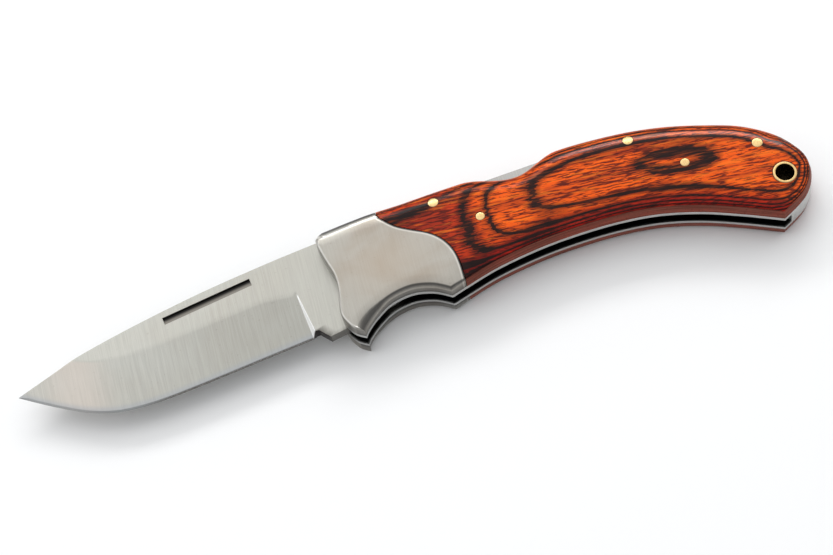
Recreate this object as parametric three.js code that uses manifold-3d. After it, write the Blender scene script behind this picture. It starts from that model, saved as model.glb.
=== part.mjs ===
// A folding lock-back knife with a drop-point blade, open and lying on its side. Millimetres.
// +X runs to the butt, +Y to the spine and +Z across the knife, up to the side with the nail nick,
// its mark side. The other side, its pile side, is the one that it lies on. The origin is on the
// pivot's axis, in the outer face of the pile side.
import * as THREE from 'three';
import { mergeVertices } from 'three/addons/utils/BufferGeometryUtils.js';
import Module from 'manifold-3d';

// Thicknesses across the knife
const bladeThickness = 2.8;
const washerThickness = 0.2;
const washerPlay = 0.025; // on each face of a washer
const linerThickness = 1;
const sideThickness = 3.55; // a bolster or a scale
const barPlay = 0.1; // from the lock bar and its spring to each liner

// Handle
const handleReach = 108.2; // from the pivot to the end of the butt
const handleHeight = 19.6; // from the pivot up to the crest of the back
const edgeRoundWidth = 1; // the rounding of the sides' outer edges, seen from above
const edgeRoundHeight = 1.3; // the same rounding across the knife
const guardTaper = 4; // over this length the rounding narrows to the guard's tip
const guardRounding = 0.45; // and this share of it is left there
const seamReach = 20.4; // from the pivot to the far end of the bolsters
const seamGap = 0.06; // between a bolster and its scale
const scoopCentre = 39.3; // the thumb scoop over the lock bar, from the pivot
const scoopDepth = 3.3;
const scoopFore = 13.8; // the length of its slope on the blade's side
const scoopAft = 11.5; // the length of its slope on the butt's side

// Blade
const bladeDepth = 15.55; // from the pivot down to the deepest point of the edge
const bladeFold = 175; // degrees from open to closed
const tipGap = 6.75; // from the closed blade's tip to the lanyard tube
const edgeThickness = 0.3;
const grindAtPlunge = 12.7; // the height of the ground face where it starts
const grindAlong = 14.3; // its height along the blade
const grindRise = 10; // the length over which it grows from the one to the other
const plungeReach = 17.4; // from the pivot to the lower end of the plunge line
const plungeLean = 2.35; // how far the line's upper end lies nearer to the tip
const plungeWidthTop = 0.3;
const plungeWidthFoot = 0.9;
const nickLength = 23.2;
const nickWidth = 2.05;
const nickDepth = 0.6;
const nickCentre = 41.65; // from the pivot towards the tip
const nickHeight = 6.9; // above the pivot
const nickTilt = 9.9; // degrees, along the back of the blade
const kickReach = 14.55; // from the pivot to the corner of the tang that stops the closed blade
const kickDrop = 11.9;
const crookShare = 0.67; // where the tang's lower edge leaves the bolsters, as a share of the reach
const crookRise = 1; // and how far above the kick
const choilNear = 1.75; // the notch at the heel, from the heel to its two upper corners
const choilFar = 0.95;
const choilRise = 1.3;
const tangRadius = 7.5;
const tangNotchDepth = 0.3;
const toothClearance = 4; // degrees that the closed tang's round runs past the tooth

// Lock bar, its pin and its spring
const barPinReach = 18.15; // from the pivot
const barPinDrop = 3.75; // below the back of the handle
const barPinRadius = 1.3;
const barFore = 21.2; // from the pin to the face that the blade's shoulder meets
const barAft = 31.4; // from the pin to the tail's end
const barEndGap = 0.2; // from the bar's ends to the shoulder and to the spacer
const barWaistDrop = 2.75; // from the pin to the bar's underside over the tang
const barTailDrop = 0.2; // from the pin to the tail's underside
const barStep = 2.8; // from the pin to where the underside begins to rise to the tail
const barStepLength = 6;
const toothWidth = 4.5;
const toothSlope = 1.2; // how much wider the tooth is at its root
const toothGap = 0.15; // between the tooth and the tang
const springThickness = 0.6;
const springReach = 16; // how far the leaf runs forward under the tail
const springSeat = 12; // how far it runs back into the spacer
const springGap = 0.08; // between the leaf's tip and the tail
const springSet = 0.55; // how much lower the leaf's root lies than its tip
const springBend = 1; // from the spacer's front to where the leaf begins to rise
const springSlotGap = 0.05;

// Spacer along the back and round the butt
const spacerGap = 1; // to the closed blade's edge
const spacerEndReach = 9.8; // from the butt's end to the inner corner of the spacer's end
const spacerEndDrop = 6.6; // from the tube's axis down to that corner
const spacerEndLean = 3.6; // how far the end's face leans towards the butt

// Pins, rivets and the lanyard tube
const pivotRadius = 2;
const pivotSeat = 1.5; // how deep the pivot pin goes into each bolster
const washerRadius = 5.5;
const runningGap = 0.05; // round a pin that something turns on
const fixedGap = 0.03; // round a pin that is held
const springPinRadius = 1.3;
const springPinFrontReach = 68.15; // from the pivot
const springPinFrontDrop = 3.5; // below the back
const springPinRearInset = 10.55; // from the end of the butt
const springPinRearDrop = 5.7;
const scalePinRadius = 1.1;
const scalePinFrontReach = 28.2;
const scalePinFrontHeight = 6.2;
const scalePinRearReach = 79.5;
const scalePinRearHeight = 5;
const rivetRadius = 0.8;
const rivetSeat = 2; // how deep a rivet goes into a bolster
const rivetUpperReach = 10.5;
const rivetUpperHeight = 3;
const rivetLowerReach = -5.2; // on the blade's side of the pivot
const rivetLowerHeight = -8.5;
const tubeInset = 6.85; // from the end of the butt to the tube's axis
const tubeDrop = 5.2; // from the pivot's height down to the tube's axis
const tubeRadius = 2.9;
const tubeWall = 0.6;

// Fineness of the shapes
const roundSides = 24;
const roundingSteps = 3;
const arcSteps = 6; // along a short arc
const tangSteps = 22; // round the tang
const backSteps = 51;
const bellySteps = 27; // along the belly, and along the front
const notchSteps = 18;
const seamSteps = 39;
const bladeSteps = 26; // along the edge, and along the back
const mergeDistance = 1e-4;
const beyond = 6; // how far a cutter runs past what it cuts

// Levels from the knife's middle plane
const bladeFace = bladeThickness / 2;
const linerInner = bladeFace + washerThickness + 2 * washerPlay;
const linerOuter = linerInner + linerThickness;
const sideOuter = linerOuter + sideThickness;

const wasm = await Module();
wasm.setup();

const radians = THREE.MathUtils.degToRad;
const point = (x, y) => new THREE.Vector2(x, y);

// A closed geometry as a solid that can be joined and cut.
function solid(geometry) {
  const flat = geometry.index ? geometry.toNonIndexed() : geometry;
  const bare = new THREE.BufferGeometry().setAttribute('position', flat.getAttribute('position'));
  const merged = mergeVertices(bare, mergeDistance);
  const vertProperties = merged.getAttribute('position').array;
  const triVerts = new Uint32Array(merged.index.array);
  return new wasm.Manifold(new wasm.Mesh({ numProp: 3, vertProperties, triVerts }));
}

// A solid as a geometry with a flat normal to each triangle.
function geometryOf(body) {
  const { vertProperties, triVerts } = body.getMesh();
  const indexed = new THREE.BufferGeometry();
  indexed.setAttribute('position', new THREE.BufferAttribute(vertProperties, 3));
  indexed.setIndex(new THREE.BufferAttribute(triVerts, 1));
  const geometry = indexed.toNonIndexed();
  geometry.computeVertexNormals();
  return geometry;
}

// A closed solid through rings of as many points each, from one end to the other. Both ends are
// closed by the same triangles, which are a fan where none are given.
function loft(rings, ends = fan(rings[0].length)) {
  const size = rings[0].length;
  const last = (rings.length - 1) * size;
  const faces = [];
  for (let start = 0; start < last; start += size) {
    for (let k = 0; k < size; k++) {
      const a = start + k;
      const b = start + ((k + 1) % size);
      faces.push(a, b, b + size, a, b + size, a + size);
    }
  }
  for (const [a, b, c] of ends) {
    faces.push(a, c, b, last + a, last + b, last + c);
  }
  const geometry = new THREE.BufferGeometry();
  const corners = rings.flat().flatMap((p) => [p.x, p.y, p.z]);
  geometry.setAttribute('position', new THREE.Float32BufferAttribute(corners, 3));
  geometry.setIndex(faces);
  return solid(geometry);
}

// The triangles of a convex ring's fan.
function fan(size) {
  return Array.from({ length: size - 2 }, (_, k) => [0, k + 1, k + 2]);
}

// A flat outline, given as points, made a solid from one level to another.
function plate(outline, low, high) {
  const shape = new THREE.Shape(outline);
  const geometry = new THREE.ExtrudeGeometry(shape, { depth: high - low, bevelEnabled: false });
  return solid(geometry.translate(0, 0, low));
}

// A round rod across the knife.
function rodGeometry(centre, radius, low, high) {
  const geometry = new THREE.CylinderGeometry(radius, radius, high - low, roundSides);
  return geometry.rotateX(Math.PI / 2).translate(centre.x, centre.y, (low + high) / 2);
}

// A round hole through everything at a place.
function hole(centre, radius) {
  return solid(rodGeometry(centre, radius, -sideOuter - beyond, sideOuter + beyond));
}

// A ring or a tube across the knife.
function ringGeometry(centre, outer, inner, low, high) {
  const shape = new THREE.Shape().absarc(centre.x, centre.y, outer, 0, 2 * Math.PI, false);
  shape.holes.push(new THREE.Path().absarc(centre.x, centre.y, inner, 0, 2 * Math.PI, true));
  const settings = { depth: high - low, bevelEnabled: false, curveSegments: roundSides };
  return new THREE.ExtrudeGeometry(shape, settings).translate(0, 0, low);
}

// Points of a smooth curve through control points that are shares of a length and a height.
function smooth(shares, length, height, steps) {
  const controls = shares.map(([u, v]) => point(u * length, v * height));
  return new THREE.SplineCurve(controls).getPoints(steps);
}

// The height of a sampled curve at a place along the knife.
function heightAt(curve, x) {
  const rising = curve[0].x < curve[curve.length - 1].x;
  const k = curve.findIndex((p) => (rising ? p.x >= x : p.x <= x));
  const b = curve[Math.max(k, 1)];
  const a = curve[Math.max(k, 1) - 1];
  return THREE.MathUtils.mapLinear(x, a.x, b.x, a.y, b.y);
}

// Points of an arc about a centre, from one angle to another, in radians.
function arc(centre, radius, from, to, steps) {
  const angles = Array.from({ length: steps + 1 }, (_, k) => from + ((to - from) * k) / steps);
  return angles.map((a) => point(centre.x + radius * Math.cos(a), centre.y + radius * Math.sin(a)));
}

// A point turned about the pivot.
function turned(p, angle) {
  return p.clone().rotateAround(point(0, 0), angle);
}

// The handle's outline: its back from the nose over the crest and down the butt, its belly, the
// finger notch up to the guard, and its front. Each control point is a share of the handle's
// reach and of its height.
const backCurve = smooth(
  [
    [-0.0943, 0.748], [-0.036, 0.79], [0.037, 0.832], [0.16, 0.886], [0.295, 0.926],
    [0.422, 0.972], [0.51, 0.998], [0.62, 0.974], [0.712, 0.9], [0.8, 0.768], [0.883, 0.597],
    [0.95, 0.34], [0.988, 0.06], [1, -0.16], [0.993, -0.36], [0.973, -0.54], [0.946, -0.665],
    [0.906, -0.796],
  ],
  handleReach, handleHeight, backSteps,
);
const bellyCurve = smooth(
  [
    [0.906, -0.796], [0.816, -0.566], [0.733, -0.383], [0.645, -0.255], [0.555, -0.204],
    [0.462, -0.207], [0.37, -0.25], [0.268, -0.352], [0.187, -0.49], [0.152, -0.556],
  ],
  handleReach, handleHeight, bellySteps,
);
const notchCurve = smooth(
  [
    [0.152, -0.556], [0.115, -0.434], [0.068, -0.378], [0.0185, -0.429], [-0.0194, -0.556],
    [-0.0462, -0.69], [-0.0565, -0.772],
  ],
  handleReach, handleHeight, notchSteps,
);
const frontCurve = smooth(
  [
    [-0.0565, -0.772], [-0.0795, -0.68], [-0.0961, -0.51], [-0.097, -0.357], [-0.0896, -0.112],
    [-0.0906, 0.102], [-0.1026, 0.352], [-0.1118, 0.602], [-0.1085, 0.694], [-0.0943, 0.748],
  ],
  handleReach, handleHeight, bellySteps,
);

// How far the thumb scoop lies below the back: a half wave down and a half wave up.
function scoopDip(x) {
  const share = x < scoopCentre ? (scoopCentre - x) / scoopFore : (x - scoopCentre) / scoopAft;
  return share < 1 ? (scoopDepth * (1 + Math.cos(Math.PI * share))) / 2 : 0;
}

const backHeight = (x) => heightAt(backCurve, x);
const scoopedBack = backCurve.map((p) => point(p.x, p.y - scoopDip(p.x)));
const outlineWith = (back) => [...back, ...bellyCurve.slice(1), ...notchCurve.slice(1),
  ...frontCurve.slice(1, -1)].reverse();
const coreOutline = outlineWith(backCurve);
const sideOutline = outlineWith(scoopedBack);

// The pins' places
const pivot = point(0, 0);
const barPin = point(barPinReach, backHeight(barPinReach) - barPinDrop);
const springPins = {
  spring_pin_front: point(springPinFrontReach, backHeight(springPinFrontReach) - springPinFrontDrop),
  spring_pin_rear: point(
    handleReach - springPinRearInset,
    backHeight(handleReach - springPinRearInset) - springPinRearDrop,
  ),
};
const scalePins = {
  scale_pin_front: point(scalePinFrontReach, scalePinFrontHeight),
  scale_pin_rear: point(scalePinRearReach, scalePinRearHeight),
};
const rivets = {
  bolster_rivet_upper: point(rivetUpperReach, rivetUpperHeight),
  bolster_rivet_lower: point(rivetLowerReach, rivetLowerHeight),
};
const tube = point(handleReach - tubeInset, -tubeDrop);

const holesAt = (places, radius) => Object.values(places).map((place) => hole(place, radius));
const without = (body, cutters) => cutters.reduce((rest, cutter) => rest.subtract(cutter), body);

// Holes for what is riveted or pressed through the liners.
const pinHoles = [
  hole(barPin, barPinRadius + fixedGap),
  ...holesAt(springPins, springPinRadius + fixedGap),
  ...holesAt(scalePins, scalePinRadius + fixedGap),
  hole(tube, tubeRadius + fixedGap),
];

// One liner, on the mark side.
function linerGeometry() {
  const blank = plate(sideOutline, linerInner, linerOuter);
  const cutters = [hole(pivot, pivotRadius + fixedGap), ...holesAt(rivets, rivetRadius + fixedGap)];
  return geometryOf(without(blank, [...pinHoles, ...cutters]));
}

// The blank of a whole handle side with its outer edge rounded, before it is parted into bolster
// and scale: the outline goes straight up from the liner, then in and up on a quarter of an
// ellipse. The rounding narrows towards the sharp tip of the guard.
function sideBlank() {
  const tip = notchCurve[notchCurve.length - 1];
  const count = sideOutline.length;
  const inward = sideOutline.map((p, k) => {
    const before = sideOutline[(k + count - 1) % count];
    const after = sideOutline[(k + 1) % count];
    const along = after.clone().sub(before).normalize();
    const room = THREE.MathUtils.smoothstep(p.distanceTo(tip), 0, guardTaper);
    return point(-along.y, along.x).multiplyScalar(THREE.MathUtils.lerp(guardRounding, 1, room));
  });
  const ring = (inset, z) => sideOutline.map((p, k) =>
    new THREE.Vector3(p.x + inset * inward[k].x, p.y + inset * inward[k].y, z));
  const rounding = Array.from({ length: roundingSteps + 1 }, (_, k) => {
    const angle = (k / roundingSteps) * (Math.PI / 2);
    const inset = edgeRoundWidth * (1 - Math.cos(angle));
    return ring(inset, sideOuter - edgeRoundHeight * (1 - Math.sin(angle)));
  });
  const ends = THREE.ShapeUtils.triangulateShape(sideOutline, []);
  return loft([ring(0, linerOuter), ...rounding], ends);
}

// All that lies on the butt's side of the seam between bolster and scale, moved along the knife.
// The seam's control points are shares of its reach and of the handle's height.
function beyondSeam(shift) {
  const seam = smooth(
    [
      [0.17, 1.15], [0.186, 0.93], [0.196, 0.74], [0.27, 0.633], [0.382, 0.515], [0.53, 0.418],
      [0.716, 0.311], [0.838, 0.204], [0.926, 0.071], [0.98, -0.082], [1, -0.255], [1, -0.43],
      [0.985, -0.62], [0.96, -0.9],
    ],
    seamReach, handleHeight, seamSteps,
  ).map((p) => point(p.x + shift, p.y));
  const far = handleReach + beyond;
  const outline = [...seam, point(far, seam[seam.length - 1].y), point(far, seam[0].y)];
  return plate(outline, linerOuter - beyond, sideOuter + beyond);
}

// A bolster of the mark side, with blind seats for the pivot pin and the rivets.
function bolsterGeometry(blank) {
  const seats = [
    solid(rodGeometry(pivot, pivotRadius + fixedGap, 0, linerOuter + pivotSeat + fixedGap)),
    ...Object.values(rivets).map((place) =>
      solid(rodGeometry(place, rivetRadius + fixedGap, 0, linerOuter + rivetSeat + fixedGap))),
  ];
  return geometryOf(without(blank.subtract(beyondSeam(0)), [...pinHoles, ...seats]));
}

// A scale of the mark side.
function scaleGeometry(blank) {
  return geometryOf(without(blank.intersect(beyondSeam(seamGap)), pinHoles));
}

// The blade's back and edge, as shares of its reach and of its depth below the pivot.
const bladeReach = handleReach - tubeInset - tubeRadius - tipGap;
const shoulderRadius = barFore + barEndGap;
const bladeBack = smooth(
  [
    [-1, -0.247], [-0.905, -0.048], [-0.816, 0.141], [-0.7, 0.328], [-0.583, 0.489],
    [-0.468, 0.63], [-0.351, 0.746], [-0.238, 0.846], [-0.137, 0.923],
  ],
  bladeReach, bladeDepth, bladeSteps,
);
const bladeEdge = smooth(
  [
    [-0.203, -0.684], [-0.327, -0.778], [-0.469, -0.888], [-0.6, -0.977], [-0.682, -1],
    [-0.752, -0.965], [-0.821, -0.842], [-0.883, -0.662], [-0.943, -0.457], [-1, -0.247],
  ],
  bladeReach, bladeDepth, bladeSteps,
);

// The lock bar turns about its pin, so its two ends, and what they meet, are arcs about that pin.
// This gives the angle about the pivot at which such an arc crosses a circle round the pivot.
function crossing(endRadius, circleRadius) {
  const span = barPin.length();
  const cosine = (span ** 2 + circleRadius ** 2 - endRadius ** 2) / (2 * span * circleRadius);
  return barPin.angle() + Math.acos(cosine);
}

// The arc of an end face, from a height over the pin down to where it crosses such a circle.
function frontFace(endRadius, height, circleRadius) {
  const [foot] = arc(pivot, circleRadius, crossing(endRadius, circleRadius), 0, 1);
  const top = Math.PI - Math.asin(height / endRadius);
  return arc(barPin, endRadius, top, foot.sub(barPin).angle(), arcSteps);
}

const toothRadius = tangRadius + toothGap;
const toothFront = crossing(barFore, toothRadius);
const toothBack = toothFront - toothWidth / toothRadius;

// The tang, from its shoulder: the notch under the tooth, the round that turns under the bar, the
// lower edge to the kick, and the notch before the heel of the edge.
function tangOutline() {
  const heel = bladeEdge[0];
  const floor = tangRadius - tangNotchDepth;
  const shoulderHeight = backHeight(barPin.x - shoulderRadius) - barPin.y;
  const roundEnd = toothBack - radians(bladeFold + toothClearance);
  return [
    ...frontFace(shoulderRadius, shoulderHeight, floor),
    ...arc(pivot, floor, crossing(shoulderRadius, floor), toothBack, arcSteps).slice(1),
    ...arc(pivot, tangRadius, toothBack, roundEnd, tangSteps),
    point(-kickReach * crookShare, -kickDrop + crookRise),
    point(-kickReach, -kickDrop),
    point(heel.x + choilNear, heel.y + choilRise),
    point(heel.x + choilFar, heel.y + choilRise),
  ];
}

// The rings of what the grinding takes off the mark side: all above a flat face that rises from
// the edge to the grind line, from beyond the tip to the plunge.
function grindRings() {
  const rise = bladeFace - edgeThickness / 2;
  const over = bladeFace + beyond;
  const ring = (topX, footX, edgeY, height, depth) => {
    const slope = rise / height;
    const topY = edgeY + height;
    const footY = edgeY - beyond;
    const footZ = bladeFace - depth * slope * (height + beyond);
    return [
      new THREE.Vector3(topX, topY, bladeFace), new THREE.Vector3(topX, topY, over),
      new THREE.Vector3(footX, footY, over), new THREE.Vector3(footX, footY, footZ),
    ];
  };
  const heightFor = (x) => {
    const share = THREE.MathUtils.smoothstep(-x, plungeReach, plungeReach + grindRise);
    return THREE.MathUtils.lerp(grindAtPlunge, grindAlong, share);
  };
  const start = plungeReach + plungeLean + plungeWidthFoot;
  const along = bladeEdge.filter((p) => -p.x > start).reverse();
  const tip = along[0];
  const heelY = heightAt(bladeEdge, -plungeReach);
  const footShift = plungeLean * (beyond / grindAtPlunge);
  const foot = -plungeReach + footShift;
  return [
    ring(tip.x - beyond, tip.x - beyond, tip.y, grindAlong, 1),
    ...along.map((p) => ring(p.x, p.x, p.y, heightFor(p.x), 1)),
    ring(-plungeReach - plungeLean - plungeWidthTop, foot - plungeWidthFoot, heelY, grindAtPlunge, 1),
    ring(-plungeReach - plungeLean, foot, heelY, grindAtPlunge, 0),
  ];
}

// The cutter of the nail nick: a slot with square ends along the back of the blade.
function nickCutter() {
  const long = nickLength / 2;
  const wide = nickWidth / 2;
  const corners = [[-long, -wide], [long, -wide], [long, wide], [-long, wide]];
  const outline = corners.map(([x, y]) =>
    turned(point(x, y), radians(nickTilt)).add(point(-nickCentre, nickHeight)));
  return plate(outline, bladeFace - nickDepth, bladeFace + beyond);
}

// A ring of points of the mark side turned over to the pile side.
function turnedOver(points) {
  return points.map((p) => new THREE.Vector3(p.x, p.y, -p.z)).reverse();
}

// The blade, ground from both sides, with its nail nick on the mark side.
function bladeGeometry() {
  const outline = [...bladeBack, ...tangOutline(), ...bladeEdge.slice(0, -1)].reverse();
  const rings = grindRings();
  const cutters = [loft(rings), loft(rings.map(turnedOver)), nickCutter()];
  const blank = plate(outline, -bladeFace, bladeFace);
  return geometryOf(without(blank, [...cutters, hole(pivot, pivotRadius + runningGap)]));
}

// A plate between the liners, trimmed to the handle's outline.
function coreSolid(outline, face) {
  return plate(outline, -face, face).intersect(plate(coreOutline, -face - beyond, face + beyond));
}

// The lock bar: its front face and tooth, its waist over the tang, and its tail.
function lockBarGeometry() {
  const over = handleHeight - barPin.y + beyond;
  const [toothEnd] = arc(pivot, toothRadius, toothBack, 0, 1);
  const waist = barPin.y - barWaistDrop;
  const tail = barPin.y - barTailDrop;
  const tailFoot = -Math.asin(barTailDrop / barAft);
  const outline = [
    ...frontFace(barFore, over, toothRadius),
    ...arc(pivot, toothRadius, toothFront, toothBack, arcSteps).slice(1, -1),
    toothEnd,
    point(toothEnd.x + toothSlope, waist),
    point(barPin.x + barStep, waist),
    point(barPin.x + barStep + barStepLength, tail),
    ...arc(barPin, barAft, tailFoot, Math.asin(over / barAft), arcSteps),
  ];
  const bar = coreSolid(outline, linerInner - barPlay);
  return geometryOf(bar.subtract(hole(barPin, barPinRadius + runningGap)));
}

// The leaf spring's levels: its tip under the bar's tail and its root in the spacer's slot.
const spacerFront = barPin.x + barAft + barEndGap;
const springTipY = barPin.y - barTailDrop - springGap - springThickness / 2;
const springRootY = springTipY - springSet;

function springGeometry() {
  const half = springThickness / 2;
  const tip = spacerFront - springReach;
  const bend = spacerFront - springBend;
  const root = spacerFront + springSeat;
  const outline = [
    point(tip, springTipY - half), point(bend, springRootY - half), point(root, springRootY - half),
    point(root, springRootY + half), point(bend, springRootY + half), point(tip, springTipY + half),
  ];
  return geometryOf(plate(outline, barPlay - linerInner, linerInner - barPlay));
}

// The slot that holds the spring's root, run out past the spacer's front.
function springSlot() {
  const half = springThickness / 2 + springSlotGap;
  const front = spacerFront - beyond;
  const end = spacerFront + springSeat + springSlotGap;
  const corners = [[front, -half], [end, -half], [end, half], [front, half]];
  return plate(corners.map(([x, y]) => point(x, springRootY + y)), -linerOuter, linerOuter);
}

// The spacer between the liners, from the lock bar's tail round the butt. Its inner side follows
// the closed blade's edge at a gap.
function spacerGeometry() {
  const closed = bladeEdge.map((p) => turned(p, radians(bladeFold)));
  const inner = closed.slice(1).map((p, k) => {
    const along = p.clone().sub(closed[k]).normalize();
    return point(p.x - along.y * spacerGap, p.y + along.x * spacerGap);
  }).filter((p) => p.x > spacerFront);
  const frontRadius = barAft + barEndGap;
  const over = handleHeight - barPin.y + beyond;
  const low = inner[0].y - barPin.y;
  const end = point(handleReach - spacerEndReach, tube.y - spacerEndDrop);
  const endOut = point(spacerEndLean, -beyond).add(end);
  const outline = [
    ...arc(barPin, frontRadius, Math.asin(over / frontRadius), Math.asin(low / frontRadius), arcSteps),
    ...inner,
    end,
    endOut,
    point(handleReach + beyond, endOut.y),
    point(handleReach + beyond, handleHeight + beyond),
  ];
  return geometryOf(without(coreSolid(outline, linerInner), [...pinHoles, springSlot()]));
}

// Finishes
const finish = (color, roughness, metalness) =>
  new THREE.MeshStandardMaterial({ color, roughness, metalness });
const bladeSteel = finish(0xc3c5be, 0.35, 1);
const bolsterSteel = finish(0xbebbb2, 0.3, 1);
const linerSteel = finish(0xb4b5b2, 0.35, 1);
const springSteel = finish(0x9a9c9c, 0.4, 1);
const brass = finish(0xdcc878, 0.3, 1);
const bronze = finish(0xb08040, 0.4, 1);
const laminatedWood = finish(0xb8431a, 0.35, 0);

const knife = new THREE.Group();
knife.position.z = sideOuter;
const handle = new THREE.Group();
const bladeGroup = new THREE.Group();
const barGroup = new THREE.Group();
knife.add(handle, bladeGroup, barGroup);

function addPiece(group, name, geometry, material) {
  const piece = new THREE.Mesh(geometry, material);
  piece.name = name;
  group.add(piece);
  return piece;
}

// A piece of the mark side and the same piece turned over to the pile side.
function addPair(name, geometry, material) {
  addPiece(handle, `mark_${name}`, geometry, material);
  addPiece(handle, `pile_${name}`, geometry, material).scale.z = -1;
}

const blank = sideBlank();
addPair('liner', linerGeometry(), linerSteel);
addPair('bolster', bolsterGeometry(blank), bolsterSteel);
addPair('scale', scaleGeometry(blank), laminatedWood);
const washerInner = bladeFace + washerPlay;
const washerOuter = washerInner + washerThickness;
const washer = ringGeometry(pivot, washerRadius, pivotRadius + runningGap, washerInner, washerOuter);
addPair('washer', washer, bronze);
for (const [name, place] of Object.entries(scalePins)) {
  addPair(name, rodGeometry(place, scalePinRadius, linerInner, sideOuter), brass);
}
for (const [name, place] of Object.entries(rivets)) {
  addPair(name, rodGeometry(place, rivetRadius, linerInner, linerOuter + rivetSeat), linerSteel);
}

const pivotEnd = linerOuter + pivotSeat;
addPiece(handle, 'pivot_pin', rodGeometry(pivot, pivotRadius, -pivotEnd, pivotEnd), springSteel);
addPiece(handle, 'lock_bar_pin', rodGeometry(barPin, barPinRadius, -sideOuter, sideOuter), brass);
for (const [name, place] of Object.entries(springPins)) {
  addPiece(handle, name, rodGeometry(place, springPinRadius, -sideOuter, sideOuter), brass);
}
const tubeBore = tubeRadius - tubeWall;
addPiece(handle, 'lanyard_tube', ringGeometry(tube, tubeRadius, tubeBore, -sideOuter, sideOuter), brass);
addPiece(handle, 'spacer', spacerGeometry(), linerSteel);
addPiece(handle, 'lock_spring', springGeometry(), springSteel);

addPiece(bladeGroup, 'blade', bladeGeometry(), bladeSteel);
addPiece(barGroup, 'lock_bar', lockBarGeometry(), linerSteel);

export default knife;
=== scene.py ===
"""Looks of a folding lock-back knife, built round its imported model.

The classes hold their sizes in millimetres, from the pivot's axis along the knife (x), towards its
back (y) and from its middle plane to the mark side, the one with the nail nick (z). Meshes are made
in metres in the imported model's frame. Each finish is a class that builds one material.
"""

import logging
import math
from collections.abc import Callable
from dataclasses import dataclass, field
from enum import Enum

import bmesh
import bpy
import numpy as np
from mathutils import Matrix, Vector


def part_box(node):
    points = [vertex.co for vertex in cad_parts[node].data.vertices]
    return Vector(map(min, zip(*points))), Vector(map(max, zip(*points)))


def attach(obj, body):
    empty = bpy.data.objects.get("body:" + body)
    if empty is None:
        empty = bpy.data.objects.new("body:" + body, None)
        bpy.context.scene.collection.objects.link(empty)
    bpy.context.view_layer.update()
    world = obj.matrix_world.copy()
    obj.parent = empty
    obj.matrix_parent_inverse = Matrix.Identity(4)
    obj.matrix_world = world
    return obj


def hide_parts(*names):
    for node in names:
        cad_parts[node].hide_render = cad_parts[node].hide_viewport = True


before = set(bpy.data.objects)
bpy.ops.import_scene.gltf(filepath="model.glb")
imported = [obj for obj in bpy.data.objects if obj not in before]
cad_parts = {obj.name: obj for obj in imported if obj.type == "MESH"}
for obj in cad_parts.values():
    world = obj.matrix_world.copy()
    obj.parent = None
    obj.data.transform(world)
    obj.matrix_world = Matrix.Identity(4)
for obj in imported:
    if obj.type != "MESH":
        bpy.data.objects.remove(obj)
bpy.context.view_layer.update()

Array = np.ndarray
Thing = bpy.types.Object
Material = bpy.types.Material
Socket = bpy.types.NodeSocket
Value = float | tuple | Socket
Triple = tuple[float, float, float]
Tint = tuple[int, int, int]
Shares = list[tuple[float, float]]

MM = 0.001
MERGE_MM = 0.0005
TINY = 1e-6
LOG = logging.getLogger("knife")


class Side(Enum):
    """The two sides of the knife, with the way that each faces along z."""

    MARK = 1
    PILE = -1

    @property
    def word(self) -> str:
        """The side's word in the names of its pieces."""
        return self.name.lower()


class Edge(Enum):
    """The four edges of a plate, in order round it with its material on the left."""

    LOW = "low"
    REAR = "rear"
    TOP = "top"
    FORE = "fore"


def smoothstep(value: Array, low: float, high: float) -> Array:
    """Rises from 0 at low to 1 at high, level at both ends: 3 s^2 - 2 s^3 of the share s."""
    share = np.clip((value - low) / (high - low), 0.0, 1.0)
    return share * share * (3.0 - 2.0 * share)


def bell(value: Array, centre: float, width: float) -> Array:
    """The bump exp(-((value - centre) / width)^2)."""
    return np.exp(-(((value - centre) / width) ** 2))


def mound(points: Array, centre: tuple, size: tuple, turn: Array = np.eye(2)) -> tuple[Array, Array]:
    """The oval bump exp(-g . g) and g, the way from its centre, turned and counted in sizes."""
    gap = (points - centre) @ turn / size
    return np.exp(-(gap**2).sum(axis=1)), gap


def between(share: Value | Array, a: Array, b: Array) -> Array:
    """The straight mix of a and b by a share of b."""
    return (1 - share) * a + share * b


def polar(radius: float, angles: Array) -> Array:
    """Points on a circle round the origin at the given angles."""
    return radius * np.stack([np.cos(angles), np.sin(angles)], axis=1)


def spline(shares: Shares, length: float, height: float, steps: int) -> Array:
    """A smooth curve through points given as shares of a length and a height.

    Between two control points p1 and p2 the curve is the cubic that leaves p1 along half of p2 - p0
    and reaches p2 along half of p3 - p1.

    Args:
        shares: the control points.
        length: what the first share of each is a share of.
        height: what the second is a share of.
        steps: how many steps the whole curve gets.

    Returns:
        Points along the curve, one row each.
    """
    controls = np.array(shares) * (length, height)
    place = np.linspace(0.0, len(controls) - 1.0, steps + 1)
    first = np.minimum(place.astype(int), len(controls) - 2)
    t = (place - first)[:, None]
    before, after = np.maximum(first - 1, 0), np.minimum(first + 2, len(controls) - 1)
    p0, p1, p2, p3 = (controls[k] for k in (before, first, first + 1, after))
    v0, v1 = (p2 - p0) / 2.0, (p3 - p1) / 2.0
    cubic = (2 * p1 - 2 * p2 + v0 + v1) * t**3 + (3 * p2 - 3 * p1 - 2 * v0 - v1) * t**2
    return cubic + v0 * t + p1


def lengths(points: Array) -> Array:
    """The length along a line of points up to each of them."""
    return np.concatenate([[0.0], np.cumsum(np.linalg.norm(np.diff(points, axis=0), axis=1))])


def resample(points: Array, shares: Array) -> Array:
    """Points at given shares of a line's length.

    Args:
        points: the line.
        shares: rising shares from 0 to 1.

    Returns:
        One point for each share.
    """
    along = lengths(points)
    wanted = shares * along[-1]
    return np.stack([np.interp(wanted, along, points[:, axis]) for axis in (0, 1)], axis=1)


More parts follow.
